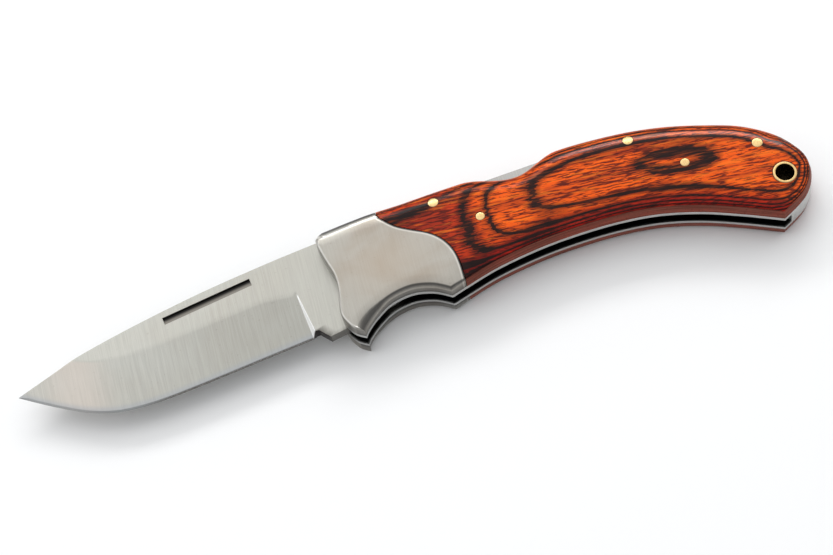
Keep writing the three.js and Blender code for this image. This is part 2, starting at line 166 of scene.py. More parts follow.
def normals(points: Array) -> Array:
    """Unit normals to the left of a line of points.

    Args:
        points: the line.

    Returns:
        One normal for each point.
    """
    along = np.gradient(points, axis=0)
    along /= np.linalg.norm(along, axis=1, keepdims=True)
    return np.stack([-along[:, 1], along[:, 0]], axis=1)


def crossing(a: Array, b: Array) -> tuple[float, float]:
    """Where two lines of points first cross.

    Args:
        a: the first line.
        b: the second line.

    Returns:
        The crossing's place along a and along b, counted in points from 0.
    """
    da, db = np.diff(a, axis=0)[:, None], np.diff(b, axis=0)[None]
    gap = b[None, :-1] - a[:-1, None]
    turn = da[..., 0] * db[..., 1] - da[..., 1] * db[..., 0]
    turn = np.where(np.abs(turn) < 1e-12, np.nan, turn)
    s = (gap[..., 0] * db[..., 1] - gap[..., 1] * db[..., 0]) / turn
    t = (gap[..., 0] * da[..., 1] - gap[..., 1] * da[..., 0]) / turn
    hit = np.argwhere((s >= 0) & (s <= 1) & (t >= 0) & (t <= 1))[0]
    return hit[0] + s[tuple(hit)], hit[1] + t[tuple(hit)]


def cut(points: Array, start: float, end: float) -> Array:
    """The stretch of a line between two places.

    Args:
        points: the line.
        start: where the stretch begins, counted in points from 0.
        end: where it ends.

    Returns:
        The stretch's points.
    """
    ends = [[np.interp(place, np.arange(len(points)), points[:, axis]) for axis in (0, 1)]
            for place in (start, end)]
    return np.vstack([ends[0], points[math.floor(start) + 1 : math.ceil(end)], ends[1]])


def bunched(count: int, strength: float = 0.8) -> Array:
    """Shares from 0 to 1, one more than count, by even steps mixed with half a wave by strength."""
    even = np.linspace(0.0, 1.0, count + 1)
    return (1 - strength) * even + strength * (1 - np.cos(np.pi * even)) / 2


def nearest(points: Array, line: Array, block: int = 4000) -> tuple[Array, Array]:
    """The nearest point of a line to each of many points.

    Args:
        points: where to measure from.
        line: the line's points.
        block: how many points are measured at a time, to save memory.

    Returns:
        The distances, and the number of the nearest point.
    """
    found = []
    for start in range(0, len(points), block):
        gap = points[start : start + block, None] - line[None]
        found.append(np.einsum("ijk,ijk->ij", gap, gap))
    index = np.concatenate([part.argmin(axis=1) for part in found])
    return np.sqrt(np.concatenate([part.min(axis=1) for part in found])), index


def fill(low: Array, rear: Array, top: Array, fore: Array, along: Array, up: Array) -> Array:
    """A patch across four edges that share their corners.

    At the shares u along and v up it is the loft from low to top plus the loft from fore to rear,
    less the flat patch through the four corners.

    Args:
        low: the edge that runs along at the bottom.
        rear: the edge that runs up at the right.
        top: the edge that runs along at the top.
        fore: the edge that runs up at the left.
        along: rising shares, one for each point of low and of top.
        up: rising shares, one for each point of rear and of fore.

    Returns:
        Points, rows by columns by their coordinates.
    """
    u, v = along[None, :, None], up[:, None, None]
    lofts = between(v, low, top) + between(u, fore[:, None], rear[:, None])
    return lofts - between(v, between(u, low[0], low[-1]), between(u, top[0], top[-1]))


def link(thing: Thing) -> Thing:
    """Puts an object into the scene."""
    bpy.context.scene.collection.objects.link(thing)
    return thing


def stand(thing: Thing, right: Array, up: Array, back: Array, place: Array) -> None:
    """Places a lamp or camera.

    Args:
        thing: the lamp or camera, which looks away from its back.
        right: the direction to its right.
        up: the direction to its top.
        back: the direction behind it.
        place: where it stands.
    """
    rows = np.eye(4)
    rows[:3] = np.column_stack([right, up, back, place])
    thing.matrix_world = Matrix(rows.tolist())


def paint(thing: Thing, **layers: Array) -> None:
    """Stores numbers for each vertex, for a material to read by their names.

    Args:
        thing: the piece.
        layers: for each name, one number for each vertex.
    """
    for name, values in layers.items():
        layer = thing.data.attributes.new(name, "FLOAT", "POINT")
        layer.data.foreach_set("value", values.astype(np.float32))


def read(thing: Thing, what: str) -> Array:
    """Reads the vertices' places ("co") or normals ("normal").

    Args:
        thing: the piece.
        what: which of the two.

    Returns:
        One row of three for each vertex.
    """
    flat = np.zeros(len(thing.data.vertices) * 3, np.float32)
    thing.data.vertices.foreach_get(what, flat)
    return flat.reshape(-1, 3).astype(float)


def vertices(thing: Thing) -> Array:
    """A piece's vertices in millimetres, with z from the knife's middle plane."""
    return read(thing, "co") / MM - (0.0, 0.0, LEVELS.middle)


@dataclass
class Skin:
    """The surface of one piece, gathered from grids of points that meet along shared edges."""

    points: list[Array] = field(default_factory=list)
    quads: list[Array] = field(default_factory=list)
    count: int = 0

    def grid(self, points: Array, keep: Array | None = None, looped: bool = False) -> None:
        """Adds a grid of points as four-sided faces.

        Args:
            points: rows by columns by three.
            keep: which cells get a face; all of them if left out.
            looped: whether the last column joins up with the first.
        """
        rows, columns = points.shape[:2]
        index = np.arange(rows * columns).reshape(rows, columns) + self.count
        if looped:
            index = np.concatenate([index, index[:, :1]], axis=1)
        quads = np.stack([index[:-1, :-1], index[:-1, 1:], index[1:, 1:], index[1:, :-1]], axis=-1)
        self.quads.append(quads[keep] if keep is not None else quads.reshape(-1, 4))
        self.points.append(points.reshape(-1, 3))
        self.count += rows * columns

    def piece(self, name: str, sharp_degrees: float) -> Thing:
        """Makes the piece: doubles merged, normals outward, smooth up to an angle.

        Args:
            name: the piece's name.
            sharp_degrees: the angle from which an edge is drawn sharp.

        Returns:
            The new object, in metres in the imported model's frame.
        """
        metres = np.concatenate(self.points) * MM
        metres[:, 2] += LEVELS.middle * MM
        mesh = bpy.data.meshes.new(name)
        mesh.from_pydata(metres, [], np.concatenate(self.quads).tolist())
        work = bmesh.new()
        work.from_mesh(mesh)
        bmesh.ops.remove_doubles(work, verts=work.verts, dist=MERGE_MM * MM)
        bmesh.ops.dissolve_degenerate(work, edges=work.edges, dist=MERGE_MM * MM)
        bmesh.ops.recalc_face_normals(work, faces=work.faces)
        open_edges = sum(not edge.is_manifold for edge in work.edges)
        work.to_mesh(mesh)
        work.free()
        if open_edges:
            LOG.warning("%s has %d open edges", name, open_edges)
        mesh.shade_smooth()
        mesh.set_sharp_from_angle(angle=math.radians(sharp_degrees))
        return link(bpy.data.objects.new(name, mesh))


@dataclass(frozen=True)
class Levels:
    """The middle plane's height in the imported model, and heights from that plane, in millimetres."""

    middle: float
    blade_face: float
    liner_inner: float
    liner_outer: float

    @classmethod
    def from_frame(cls) -> "Levels":
        """Reads the levels off the boxes of the blade and a liner.

        Returns:
            The levels.
        """
        low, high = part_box("blade")
        liner_low, liner_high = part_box("mark_liner")
        middle = (low.z + high.z) / 2
        heights = (high.z, liner_low.z, liner_high.z)
        return cls(middle / MM, *((height - middle) / MM for height in heights))


LEVELS = Levels.from_frame()


@dataclass(frozen=True)
class Pin:
    """Where a round piece stands and how thick it is, read from its node's box."""

    node: str
    place: Array
    radius: float

    @classmethod
    def of(cls, node: str) -> "Pin":
        """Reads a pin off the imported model.

        Args:
            node: its node.

        Returns:
            The pin.
        """
        low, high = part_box(node)
        centre = (low + high) / 2 / MM
        return cls(node, np.array([centre.x, centre.y]), (high.x - low.x) / 2 / MM)


@dataclass(frozen=True)
class Section:
    """How a side's edge rises from its liner, from the outline inwards.

    The rings' insets and heights trace the steep part. From the last ring the face goes on rising
    by crown over crown_width, ever more gently, on a parabola. Heights are above the liner, and the
    last one plus the crown is the side's thickness, 3.55.
    """

    insets: tuple[float, ...]
    heights: tuple[float, ...]
    crown: float
    crown_width: float

    @property
    def row(self) -> Array:
        """The section as one row of numbers, so that sections can be mixed."""
        return np.array([*self.insets, *self.heights, self.crown, self.crown_width])


# Every section has this many rings.
RINGS = 7
BOLSTER_LOW = Section(
    (0, 0, 0, 0.05, 0.3, 0.6, 0.85), (0, 1, 1.95, 2.12, 2.75, 3.2, 3.35), 0.2, 2.5).row
GUARD_LOW = Section(
    (0, 0, 0, 0.08, 0.6, 1.4, 2.0), (0, 0.5, 0.95, 1.2, 2.2, 3.0, 3.28), 0.27, 2.0).row
BOLSTER_FRONT = Section(
    (0, 0, 0, 0.03, 0.12, 0.3, 0.55), (0, 1.4, 2.75, 2.95, 3.2, 3.4, 3.5), 0.05, 0.8).row
BOLSTER_TOP = Section(
    (0, 0, 0.02, 0.15, 0.5, 1, 2), (0, 1, 1.9, 2.35, 2.78, 3.07, 3.38), 0.17, 2.5).row
WOOD_LOW = Section(
    (0, 0.25, 0.5, 0.56, 0.66, 0.8, 1), (0, 1.3, 2.45, 2.58, 2.67, 2.73, 2.79), 0.76, 8.5).row
WOOD_BACK = Section(
    (0, 0, 0.08, 0.25, 0.5, 0.85, 1.3), (0, 0.6, 1.25, 1.7, 2.1, 2.45, 2.76), 0.79, 3.6).row
LINER_EDGE = Section(
    (0, 0, 0, 0, 0, 0.03, 0.08), (0, 0.2, 0.4, 0.7, 0.92, 0.98, 1.0), 0.0, 1.0).row
# Along a seam the rings rise by these shares of the local height, and step in by these insets.
SEAM_RISE = np.array([0.0, 0.3, 0.6, 0.955, 0.975, 0.99, 1.0])
SEAM_INSETS = np.array([0.0, 0.0, 0.0, 0.0, 0.02, 0.06, 0.12])


@dataclass(frozen=True)
class HandleOutline:
    """The outline that liners, bolsters and scales share, in curves through shares of its size."""

    reach: float = 108.2
    height: float = 19.6
    scoop_centre: float = 39.3
    scoop_depth: float = 3.3
    scoop_fore: float = 13.8
    scoop_aft: float = 11.5
    seam_reach: float = 20.4
    seam_gap: float = 0.06
    butt_split: float = 0.647
    steps: int = 600

    # Control points of the belly, the notch and the front, as shares of the reach and the height.
    belly_shares = [
        (0.152, -0.556), (0.187, -0.49), (0.268, -0.352), (0.37, -0.25), (0.462, -0.207),
        (0.555, -0.204), (0.645, -0.255), (0.733, -0.383), (0.816, -0.566), (0.906, -0.796),
    ]
    notch_shares = [
        (-0.0565, -0.772), (-0.0462, -0.69), (-0.0194, -0.556), (0.0185, -0.429),
        (0.068, -0.378), (0.115, -0.434), (0.152, -0.556),
    ]
    front_shares = [
        (-0.0565, -0.772), (-0.0795, -0.68), (-0.0961, -0.51), (-0.097, -0.357),
        (-0.0896, -0.112), (-0.0906, 0.102), (-0.1026, 0.352), (-0.1118, 0.602),
        (-0.1085, 0.694), (-0.0943, 0.748),
    ]

    def back(self, scooped: bool = True) -> Array:
        """The back from the nose to the end of the butt.

        Args:
            scooped: whether the thumb scoop's half waves are cut into it.

        Returns:
            The curve's points.
        """
        shares = [
            (-0.0943, 0.748), (-0.036, 0.79), (0.037, 0.832), (0.16, 0.886), (0.295, 0.926),
            (0.422, 0.972), (0.51, 0.998), (0.62, 0.974), (0.712, 0.9), (0.8, 0.768),
            (0.883, 0.597), (0.95, 0.34), (0.988, 0.06), (1, -0.16), (0.993, -0.36),
            (0.973, -0.54), (0.946, -0.665), (0.906, -0.796),
        ]
        curve = spline(shares, self.reach, self.height, self.steps)
        gap = curve[:, 0] - self.scoop_centre
        share = np.where(gap < 0, -gap / self.scoop_fore, gap / self.scoop_aft)
        dip = self.scoop_depth * (1 + np.cos(np.pi * np.minimum(share, 1.0))) / 2
        if scooped:
            curve[:, 1] -= np.where(curve[:, 1] > 0, dip, 0.0)
        return curve

    def belly(self) -> Array:
        """The belly from the corner beyond the finger notch to the corner of the butt."""
        return spline(self.belly_shares, self.reach, self.height, self.steps)

    def notch(self) -> Array:
        """The finger notch from the guard's tip to its far corner."""
        return spline(self.notch_shares, self.reach, self.height, self.steps // 2)

    def underside(self) -> Array:
        """The finger notch and the belly in one line."""
        return np.vstack([self.notch(), self.belly()[1:]])

    def front(self) -> Array:
        """The bolsters' front from the guard's tip up to the nose."""
        return spline(self.front_shares, self.reach, self.height, self.steps // 2)

    def seam(self, shift: float) -> Array:
        """The seam between bolster and scale, from the belly up to the back.

        Args:
            shift: how far it is moved towards the butt.

        Returns:
            The curve's points.
        """
        shares = [
            (0.96, -0.9), (0.985, -0.62), (1, -0.43), (1, -0.255), (0.98, -0.082), (0.926, 0.071),
            (0.838, 0.204), (0.716, 0.311), (0.53, 0.418), (0.382, 0.515), (0.27, 0.633),
            (0.196, 0.74), (0.186, 0.93), (0.17, 1.15),
        ]
        return spline(shares, self.seam_reach, self.height, self.steps // 2) + (shift, 0.0)


@dataclass
class Edges:
    """The four edges of a plate as lines of points, each from left to right or from low to high."""

    low: Array
    rear: Array
    top: Array
    fore: Array


@dataclass
class SideShape:
    """The face of a whole handle side: how high it stands over the liner at any place."""

    outline: HandleOutline

    # Where one section turns into the next: in y up the nose, in x along the back, in y and in x
    # round the butt, and in x from the bolster to the guard and from the bolster to the wood.
    nose_turn = (11.0, 14.6)
    back_turn = (0.0, 12.0)
    butt_turns = ((-6.0, 6.0), (90.0, 100.0))
    guard_turn = (2.0, -5.5)
    wood_turn = (15.0, 24.0)

    def __post_init__(self) -> None:
        """Works out the outline's lines and the sections along them."""
        back = self.outline.back()
        split = self.split(back)
        self.low = np.vstack([self.outline.underside(), back[: split : -1][1:]])
        self.back = back[: split + 1]
        self.front = self.outline.front()
        self.lines = [(line, self.sections(line, edge)) for line, edge in (
            (self.low, Edge.LOW), (self.back[::-1], Edge.TOP), (self.front[::-1], Edge.FORE))]

    def split(self, back: Array) -> int:
        """The number of the back's point where the butt's side takes over from the back."""
        return int(len(back) * self.outline.butt_split)

    @classmethod
    def sections(cls, points: Array, edge: Edge) -> Array:
        """The section at each point of an edge, mixed by where it lies.

        Args:
            points: places along the outline.
            edge: which edge of the handle they lie on, all but the rear.

        Returns:
            One row of section numbers for each point.
        """
        x, y = points.T[:, :, None]
        if edge is Edge.FORE:
            return between(smoothstep(y, *cls.nose_turn), BOLSTER_FRONT, BOLSTER_TOP)
        if edge is Edge.TOP:
            return between(smoothstep(x, *cls.back_turn), BOLSTER_TOP, WOOD_BACK)
        rise, run = cls.butt_turns
        rounded = smoothstep(y, *rise) * smoothstep(x, *run)
        bolster = between(smoothstep(x, *cls.guard_turn), BOLSTER_LOW, GUARD_LOW)
        wood = between(rounded, WOOD_LOW, WOOD_BACK)
        return between(smoothstep(x, *cls.wood_turn), bolster, wood)

    def height(self, points: Array) -> Array:
        """The side's height above the liner: the lowest of the heights that its edges allow.

        From each edge inwards the height climbs in straight steps from ring to ring, then by the
        crown times 1 - (1 - way / width)^2. A place's distance from an edge is measured square to
        the edge at its nearest point.

        Args:
            points: places on the side.

        Returns:
            One height for each place.
        """
        lowest = np.full(len(points), np.inf)
        for line, rows in self.lines:
            index = nearest(points, line)[1]
            distance = np.einsum("ij,ij->i", points - line[index], normals(line)[index])
            insets, heights = rows[index, :RINGS], rows[index, RINGS : 2 * RINGS]
            rise, run = np.diff(heights, axis=1), np.maximum(np.diff(insets, axis=1), TINY)
            steps = np.clip((distance[:, None] - insets[:, :-1] + TINY) / run, 0.0, 1.0)
            crown, width = rows[index, -2], rows[index, -1]
            way = np.clip((distance - insets[:, -1]) / width, 0.0, 1.0)
            climb = heights[:, 0] + (rise * steps).sum(axis=1) + crown * (1 - (1 - way) ** 2)
            lowest = np.minimum(lowest, climb)
        return lowest


@dataclass
class Plate:
    """A plate between four edges, with a section round it, a face over it and round holes.

    The edges make rings that step inwards, and a patch between its own four sides fills the last
    ring. Each hole gets a collar of rings from a block of the patch's cells to its circle.
    """

    edges: Edges
    columns: int
    rows: int
    base: float
    holes: list[Pin] = field(default_factory=list)
    hole_gap: float = 0.03
    collar_rings: int = 4
    collar_reach: float = 1.25
    collar_margin: float = 0.15
    corner_reach: float = 3.0
    corner_points: int = 5
    crowding: float = 0.01
    sharp_degrees: float = 28.0

    def insets(self, edge: Edge, points: Array) -> Array:
        """The rings' insets at each point of an edge."""
        raise NotImplementedError

    def heights(self, edge: Edge, points: Array) -> Array:
        """The rings' heights above the base at each point of an edge."""
        raise NotImplementedError

    def face(self, points: Array) -> Array:
        """The face's height above the base at each place."""
        raise NotImplementedError

    def move_in(self, points: Array, inset: Array, start: Array, end: Array, shares: Array) -> Array:
        """An edge moved inwards, cut off at its two corners and sampled again.

        Each point moves along the normal to its left by its inset. Points that come nearer to the
        edge than that, or that pass a corner within reach of it, are dropped.

        Args:
            points: the edge.
            inset: how far each point moves.
            start: the moved edge's first corner.
            end: its last corner.
            shares: the shares of its length at which it is sampled.

        Returns:
            The moved edge's points.
        """
        moved = points + inset[:, None] * normals(points)
        along = lengths(points)
        near = self.corner_reach + inset.max()
        reach = min(self.corner_points, len(points) - 1)
        first, last = points[reach] - points[0], points[-1] - points[-1 - reach]
        past_start = (along < near) & ((moved - start) @ first <= 0)
        past_end = (along > along[-1] - near) & ((moved - end) @ last >= 0)
        crowded = nearest(moved, points)[0] < inset - self.crowding
        kept = moved[~(past_start | past_end | crowded)]
        return resample(np.vstack([start, kept, end]), shares)

    @staticmethod
    def corner(a: Array, b: Array, inset_a: float, inset_b: float) -> Array:
        """Where edges a and b meet once moved in: n_a . d and n_b . d are the insets of the step d."""
        # Where the two edges are almost in line, the least squares answer is the nearest one.
        matrix = np.array([normals(a)[0], normals(b)[0]])
        return b[0] + np.linalg.lstsq(matrix, np.array([inset_a, inset_b]), rcond=0.03)[0]

    def rings(self) -> list[dict[Edge, Array]]:
        """The rings, each a dictionary of its four sampled edges with three coordinates.

        Each corner has one height, the mean of its two edges' heights.

        Returns:
            The rings, from the outline inwards.
        """
        lines = [self.edges.low, self.edges.rear, self.edges.top[::-1], self.edges.fore[::-1]]
        shares = [bunched(self.columns), bunched(self.rows)] * 2
        insets = [self.insets(edge, line) for edge, line in zip(Edge, lines)]
        levels = [self.heights(edge, resample(line, share))
                  for edge, line, share in zip(Edge, lines, shares)]
        found = []
        for ring in range(RINGS):
            corners = [self.corner(lines[k - 1][-2:], lines[k][:2], insets[k - 1][-1, ring],
                                   insets[k][0, ring]) for k in range(4)]
            sides = [np.column_stack([
                self.move_in(lines[k], insets[k][:, ring], corners[k], corners[(k + 1) % 4], shares[k]),
                levels[k][:, ring]]) for k in range(4)]
            for k in range(4):
                before, after = sides[k - 1], sides[k]
                before[-1, 2] = after[0, 2] = (before[-1, 2] + after[0, 2]) / 2
            found.append(dict(zip(Edge, sides)))
        return found

    def collar(self, patch: Array, pin: Pin) -> tuple[tuple[slice, slice], Array]:
        """The rings from a block of the patch's cells in to a hole's circle.

        Args:
            patch: the patch's points.
            pin: the round piece that the hole is for.

        Returns:
            The block of cells that the collar replaces, and the collar's rings of points.
        """
        radius = pin.radius + self.hole_gap
        distance = np.linalg.norm(patch - pin.place, axis=2)
        rows, columns = np.nonzero(distance < radius * self.collar_reach + self.collar_margin)
        low, high, left, right = rows.min() - 1, rows.max() + 1, columns.min() - 1, columns.max() + 1
        rim = np.vstack([
            patch[low, left:right], patch[low:high, right], patch[high, right:left:-1],
            patch[high:low:-1, left],
        ])
        spoke = rim - pin.place
        circle = pin.place + radius * spoke / np.linalg.norm(spoke, axis=1, keepdims=True)
        share = np.linspace(0, 1, self.collar_rings + 1)[:, None, None]
        return (slice(low, high), slice(left, right)), between(share, rim, circle)

    def build(self, name: str, side: Side) -> Thing:
        """Builds the plate's object on one side of the knife.

        Args:
            name: the object's name.
            side: mark, or pile, which is the same turned over.

        Returns:
            The new object.
        """
        rings = self.rings()
        low, rear, top, fore = (rings[-1][edge][:, :2] for edge in Edge)
        patch = fill(low, rear, top[::-1], fore[::-1], bunched(self.columns), bunched(self.rows))
        level = self.face(patch.reshape(-1, 2)).reshape(patch.shape[:2])
        walls = np.stack([np.vstack([sides[edge][:-1] for edge in Edge]) for sides in rings])
        rim = [level[0, :-1], level[:-1, -1], level[-1, :0:-1], level[:0:-1, 0]]
        walls[-1, :, 2] = np.concatenate(rim)
        walls = np.concatenate([walls[-1:] * (1, 1, 0), walls])
        keep = np.ones((patch.shape[0] - 1, patch.shape[1] - 1), bool)
        skin = Skin()

        def lift(points: Array, height: Array | float) -> Array:
            """Points of the plane raised from the base, on this side of the knife."""
            height = np.broadcast_to(height, points.shape[:-1])[..., None]
            return np.concatenate([points, height + self.base], axis=-1) * (1, 1, side.value)

        for pin in self.holes:
            block, collar = self.collar(patch, pin)
            keep[block] = False
            rise = self.face(collar.reshape(-1, 2)).reshape(collar.shape[:2])
            bore = np.stack([collar[-1], collar[-1]])
            for points, height in ((collar, rise), (collar, 0.0),
                                   (bore, np.stack([rise[-1], 0 * rise[-1]]))):
                skin.grid(lift(points, height), looped=True)
        skin.grid(lift(patch, level), keep=keep)
        skin.grid(lift(patch, 0.0), keep=keep)
        skin.grid(lift(walls[..., :2], walls[..., 2]), looped=True)
        return skin.piece(name, self.sharp_degrees)


@dataclass
class SidePiece(Plate):
    """A bolster or a scale, cut from the shape of the whole side along their seam."""

    shape: SideShape | None = None
    seam: Edge = Edge.REAR

    def sections(self, edge: Edge, points: Array) -> Array:
        """The sections along an edge that lies on the handle's outline."""
        return SideShape.sections(points, Edge.LOW if edge is Edge.REAR else edge)

    def insets(self, edge: Edge, points: Array) -> Array:
        """The rings' insets, which are small along the seam."""
        insets = self.sections(edge, points)[:, :RINGS]
        return SEAM_INSETS + 0 * insets if edge is self.seam else insets

    def heights(self, edge: Edge, points: Array) -> Array:
        """The rings' heights, which along the seam are shares of the side's height there."""
        heights = self.sections(edge, points)[:, RINGS : 2 * RINGS]
        return self.shape.height(points)[:, None] * SEAM_RISE if edge is self.seam else heights

    def face(self, points: Array) -> Array:
        """The side's height over the liner."""
        return self.shape.height(points)


@dataclass
class LinerPlate(Plate):
    """A liner: a flat plate with its edges lightly broken."""

    thickness: float = 1.0

    def insets(self, edge: Edge, points: Array) -> Array:
        """The same insets all round."""
        return np.repeat(LINER_EDGE[None, :RINGS], len(points), axis=0)

    def heights(self, edge: Edge, points: Array) -> Array:
        """The same heights all round."""
        return np.repeat(LINER_EDGE[None, RINGS : 2 * RINGS], len(points), axis=0) * self.thickness

    def face(self, points: Array) -> Array:
        """A flat face."""
        return np.full(len(points), self.thickness)


@dataclass
class RoundPiece:
    """A pin or the lanyard tube, turned round its axis, its ends flush with the sides' faces.

    A profile is a list of places along a radius, each with how far it lies below the face there.
    It is carried round the axis, and the face's level is read off the side's shape at each angle,
    so the ends follow the sides' crown.
    """

    pin: Pin
    shape: SideShape
    proud: float = 0.015
    broken_edge: float = 0.06
    segments: int = 48
    sharp_degrees: float = 40.0

    def ring(self, radius: float, sign: int | None, drop: float) -> Array:
        """One ring of the profile.

        Args:
            radius: its radius.
            sign: which side's face it lies on, or None for the inner end at a liner.
            drop: how far it lies below that level.

        Returns:
            The ring's points.
        """
        angles = np.linspace(0, 2 * np.pi, self.segments, endpoint=False)
        place = self.pin.place + polar(radius, angles)
        if sign is None:
            return np.column_stack([place, np.full(len(place), LEVELS.liner_inner)])
        level = LEVELS.liner_outer + self.shape.height(place) + self.proud - drop
        return np.column_stack([place, sign * level])

    def rod(self, through: bool) -> Array:
        """The rings of a pin with slightly domed ends.

        Args:
            through: whether it goes through both sides, or ends at its liner.

        Returns:
            The rings, from the middle of one end to the middle of the other.
        """
        radius, edge = self.pin.radius, self.broken_edge
        cap = [(0.0, 0.0), (radius * 0.5, 0.005), (radius * 0.85, 0.02), (radius - edge, 0.04),
               (radius - edge * 0.3, 0.04 + edge * 0.3), (radius, 0.04 + edge)]
        foot = [(r, -1, drop) for r, drop in cap[::-1]] if through else [
            (radius, None, 0.0), (0.0, None, 0.0)]
        return np.stack([self.ring(*place) for place in [(r, 1, drop) for r, drop in cap] + foot])

    def tube(self, wall: float) -> Array:
        """The closed profile of a tube with broken edges, carried round its axis.

        Args:
            wall: its thickness.

        Returns:
            The rings, the last joining the first.
        """
        outer, inner, edge = self.pin.radius, self.pin.radius - wall, self.broken_edge
        lip = [(outer, 0.02 + edge), (outer - edge * 0.3, 0.02 + edge * 0.3), (outer - edge, 0.01),
               ((outer + inner) / 2, 0.0), (inner + edge, 0.01), (inner + edge * 0.3, edge * 0.4),
               (inner, 2 * edge)]
        rings = [self.ring(r, 1, drop) for r, drop in lip]
        rings += [self.ring(r, -1, drop) for r, drop in lip[::-1]]
        return np.stack([*rings, rings[0]])

    def build(self, name: str, rings: Array, side: Side = Side.MARK) -> Thing:
        """Builds the object from its rings.

        Args:
            name: the object's name.
            rings: from rod or tube.
            side: pile turns a piece over.

        Returns:
            The new object.
        """
        skin = Skin()
        skin.grid(rings * (1, 1, side.value), looped=True)
        return skin.piece(name, self.sharp_degrees)


@dataclass
class Blade:
    """The blade: ground faces from both sides, nail nick, ricasso, choil and tang.

    Its columns cross it from spine to edge and lean back like the plunge line and the ends of the
    nick: x = c - lean * y. Each column is a closed loop of rows down one face and up the other.
    """

    reach: float = 91.7
    depth: float = 15.55
    edge_thickness: float = 0.3
    keen_thickness: float = 0.03
    bevel_width: float = 0.55
    full_span: float = 20.0
    grind_at_plunge: float = 12.7
    grind_along: float = 14.3
    grind_rise: float = 10.0
    plunge_reach: float = 17.4
    plunge_lean: float = 2.35
    plunge_width_top: float = 0.35
    plunge_width_foot: float = 1.3
    nick_length: float = 23.2
    nick_width: float = 2.05
    nick_centre: tuple[float, float] = (-41.65, 6.9)
    nick_tilt: float = math.radians(9.9)
    kick: tuple[float, float] = (-14.55, -11.9)
    crook: tuple[float, float] = (-9.75, -10.9)
    choil_near: float = 1.75
    choil_far: float = 0.95
    choil_rise: float = 1.3
    tang_radius: float = 7.5
    tooth_notch: float = 0.3
    shoulder_radius: float = 21.4
    tooth_end: float = math.radians(72.1)
    round_end: float = math.radians(-106.9)
    back_at_shoulder: float = 15.55
    pivot_hole: float = 2.05
    neck_split: float = 2.0
    neck_steps: int = 24
    spoke_steps: int = 8
    steps: int = 600
    sharp_degrees: float = 7.0
    tip_run: float = 6.0
    tip_columns: int = 26
    tip_crowding: float = 1.4
    even_from: float = -85.0
    shoulder_shift: float = 0.083

    # Where the columns' lean turns from none at the tip to the nick's, and on to the plunge's.
    tip_to_nick = (-86.0, -57.0)
    nick_to_plunge = (-27.0, -20.5)
    # Insets and drops of a broken edge's rows, and shares across the nick with its depth there.
    broken_edge = ((0.0, 0.15), (0.03, 0.05), (0.06, 0.02), (0.12, 0.0))
    nick_floor = (
        (0.0, 0.0), (0.03, 0.55), (0.3, 0.6), (0.55, 0.6), (0.8, 0.58), (0.97, 0.52), (1.0, 0.0))

    def __post_init__(self) -> None:
        """Works out the back, the edge, the choil and the plunge line."""
        self.bar_pin = Pin.of("lock_bar_pin").place
        back = [
            (-1, -0.247), (-0.905, -0.048), (-0.816, 0.141), (-0.7, 0.328), (-0.583, 0.489),
            (-0.468, 0.63), (-0.351, 0.746), (-0.238, 0.846), (-0.137, 0.923),
        ]
        edge = [
            (-0.203, -0.684), (-0.327, -0.778), (-0.469, -0.888), (-0.6, -0.977), (-0.682, -1),
            (-0.752, -0.965), (-0.821, -0.842), (-0.883, -0.662), (-0.943, -0.457), (-1, -0.247),
        ]
        at_shoulder = self.bar_pin[0] - self.shoulder_radius + self.shoulder_shift
        shoulder = (at_shoulder, self.back_at_shoulder)
        self.back = np.vstack([spline(back, self.reach, self.depth, self.steps), shoulder])
        self.edge = spline(edge, self.reach, self.depth, self.steps)[::-1]
        self.heel = self.edge[-1]
        self.choil = self.heel + [(away, self.choil_rise) for away in (self.choil_far, self.choil_near)]
        self.underside = np.vstack([self.edge, self.choil])
        self.lean_at_plunge = self.plunge_lean / self.grind_at_plunge
        self.plunge = -self.plunge_reach + self.lean_at_plunge * self.heel[1]

    @property
    def nick_ends(self) -> tuple[float, float]:
        """The columns' places at the two ends of the nick.

        Returns:
            The two places, rising.
        """
        middle = self.nick_centre[0] + math.tan(self.nick_tilt) * self.nick_centre[1]
        half = self.nick_length / 2 / math.cos(self.nick_tilt)
        return middle - half, middle + half

    def columns(self) -> Array:
        """The columns' places c, close together at the tip, the nick's ends, heel and plunge.

        Returns:
            The places, rising.
        """
        first, last = self.nick_ends
        heel = self.heel[0] + self.lean_at_plunge * self.heel[1]
        end = self.choil[:, 0].mean() + self.lean_at_plunge * self.choil[0, 1]
        gap = 0.04
        return np.concatenate([
            -self.reach + self.tip_run * np.linspace(0, 1, self.tip_columns) ** self.tip_crowding,
            np.linspace(self.even_from, first - 0.6, 50), (first - gap, first, first + gap),
            np.linspace(first + 0.5, last - 0.5, 46), (last - gap, last, last + gap),
            np.linspace(last + 0.5, heel - 0.4, 16), (heel - 0.15, heel, heel + 0.02),
            np.linspace(heel + 0.12, self.plunge, 15), np.linspace(self.plunge + 0.06, end, 5),
        ])

    def lean(self, c: Array) -> Array:
        """The columns' lean: the plunge line's, then square to the nick, then none at the tip.

        Args:
            c: the columns' places.

        Returns:
            One lean for each column.
        """
        square = math.tan(self.nick_tilt)
        near = square + (self.lean_at_plunge - square) * smoothstep(c, *self.nick_to_plunge)
        return near * smoothstep(c, *self.tip_to_nick)

    @staticmethod
    def meet(line: Array, c: Array, lean: Array, rounds: int = 40) -> Array:
        """Heights at which leaning columns meet a line, y = line(c - lean * y), by repetition.

        Args:
            line: the line's points, from left to right.
            c: the columns' places.
            lean: their leans.
            rounds: how often the heights are worked out again.

        Returns:
            One height for each column.
        """
        y = np.zeros_like(c)
        for _ in range(rounds):
            y = np.interp(c - lean * y, line[:, 0], line[:, 1])
        return y

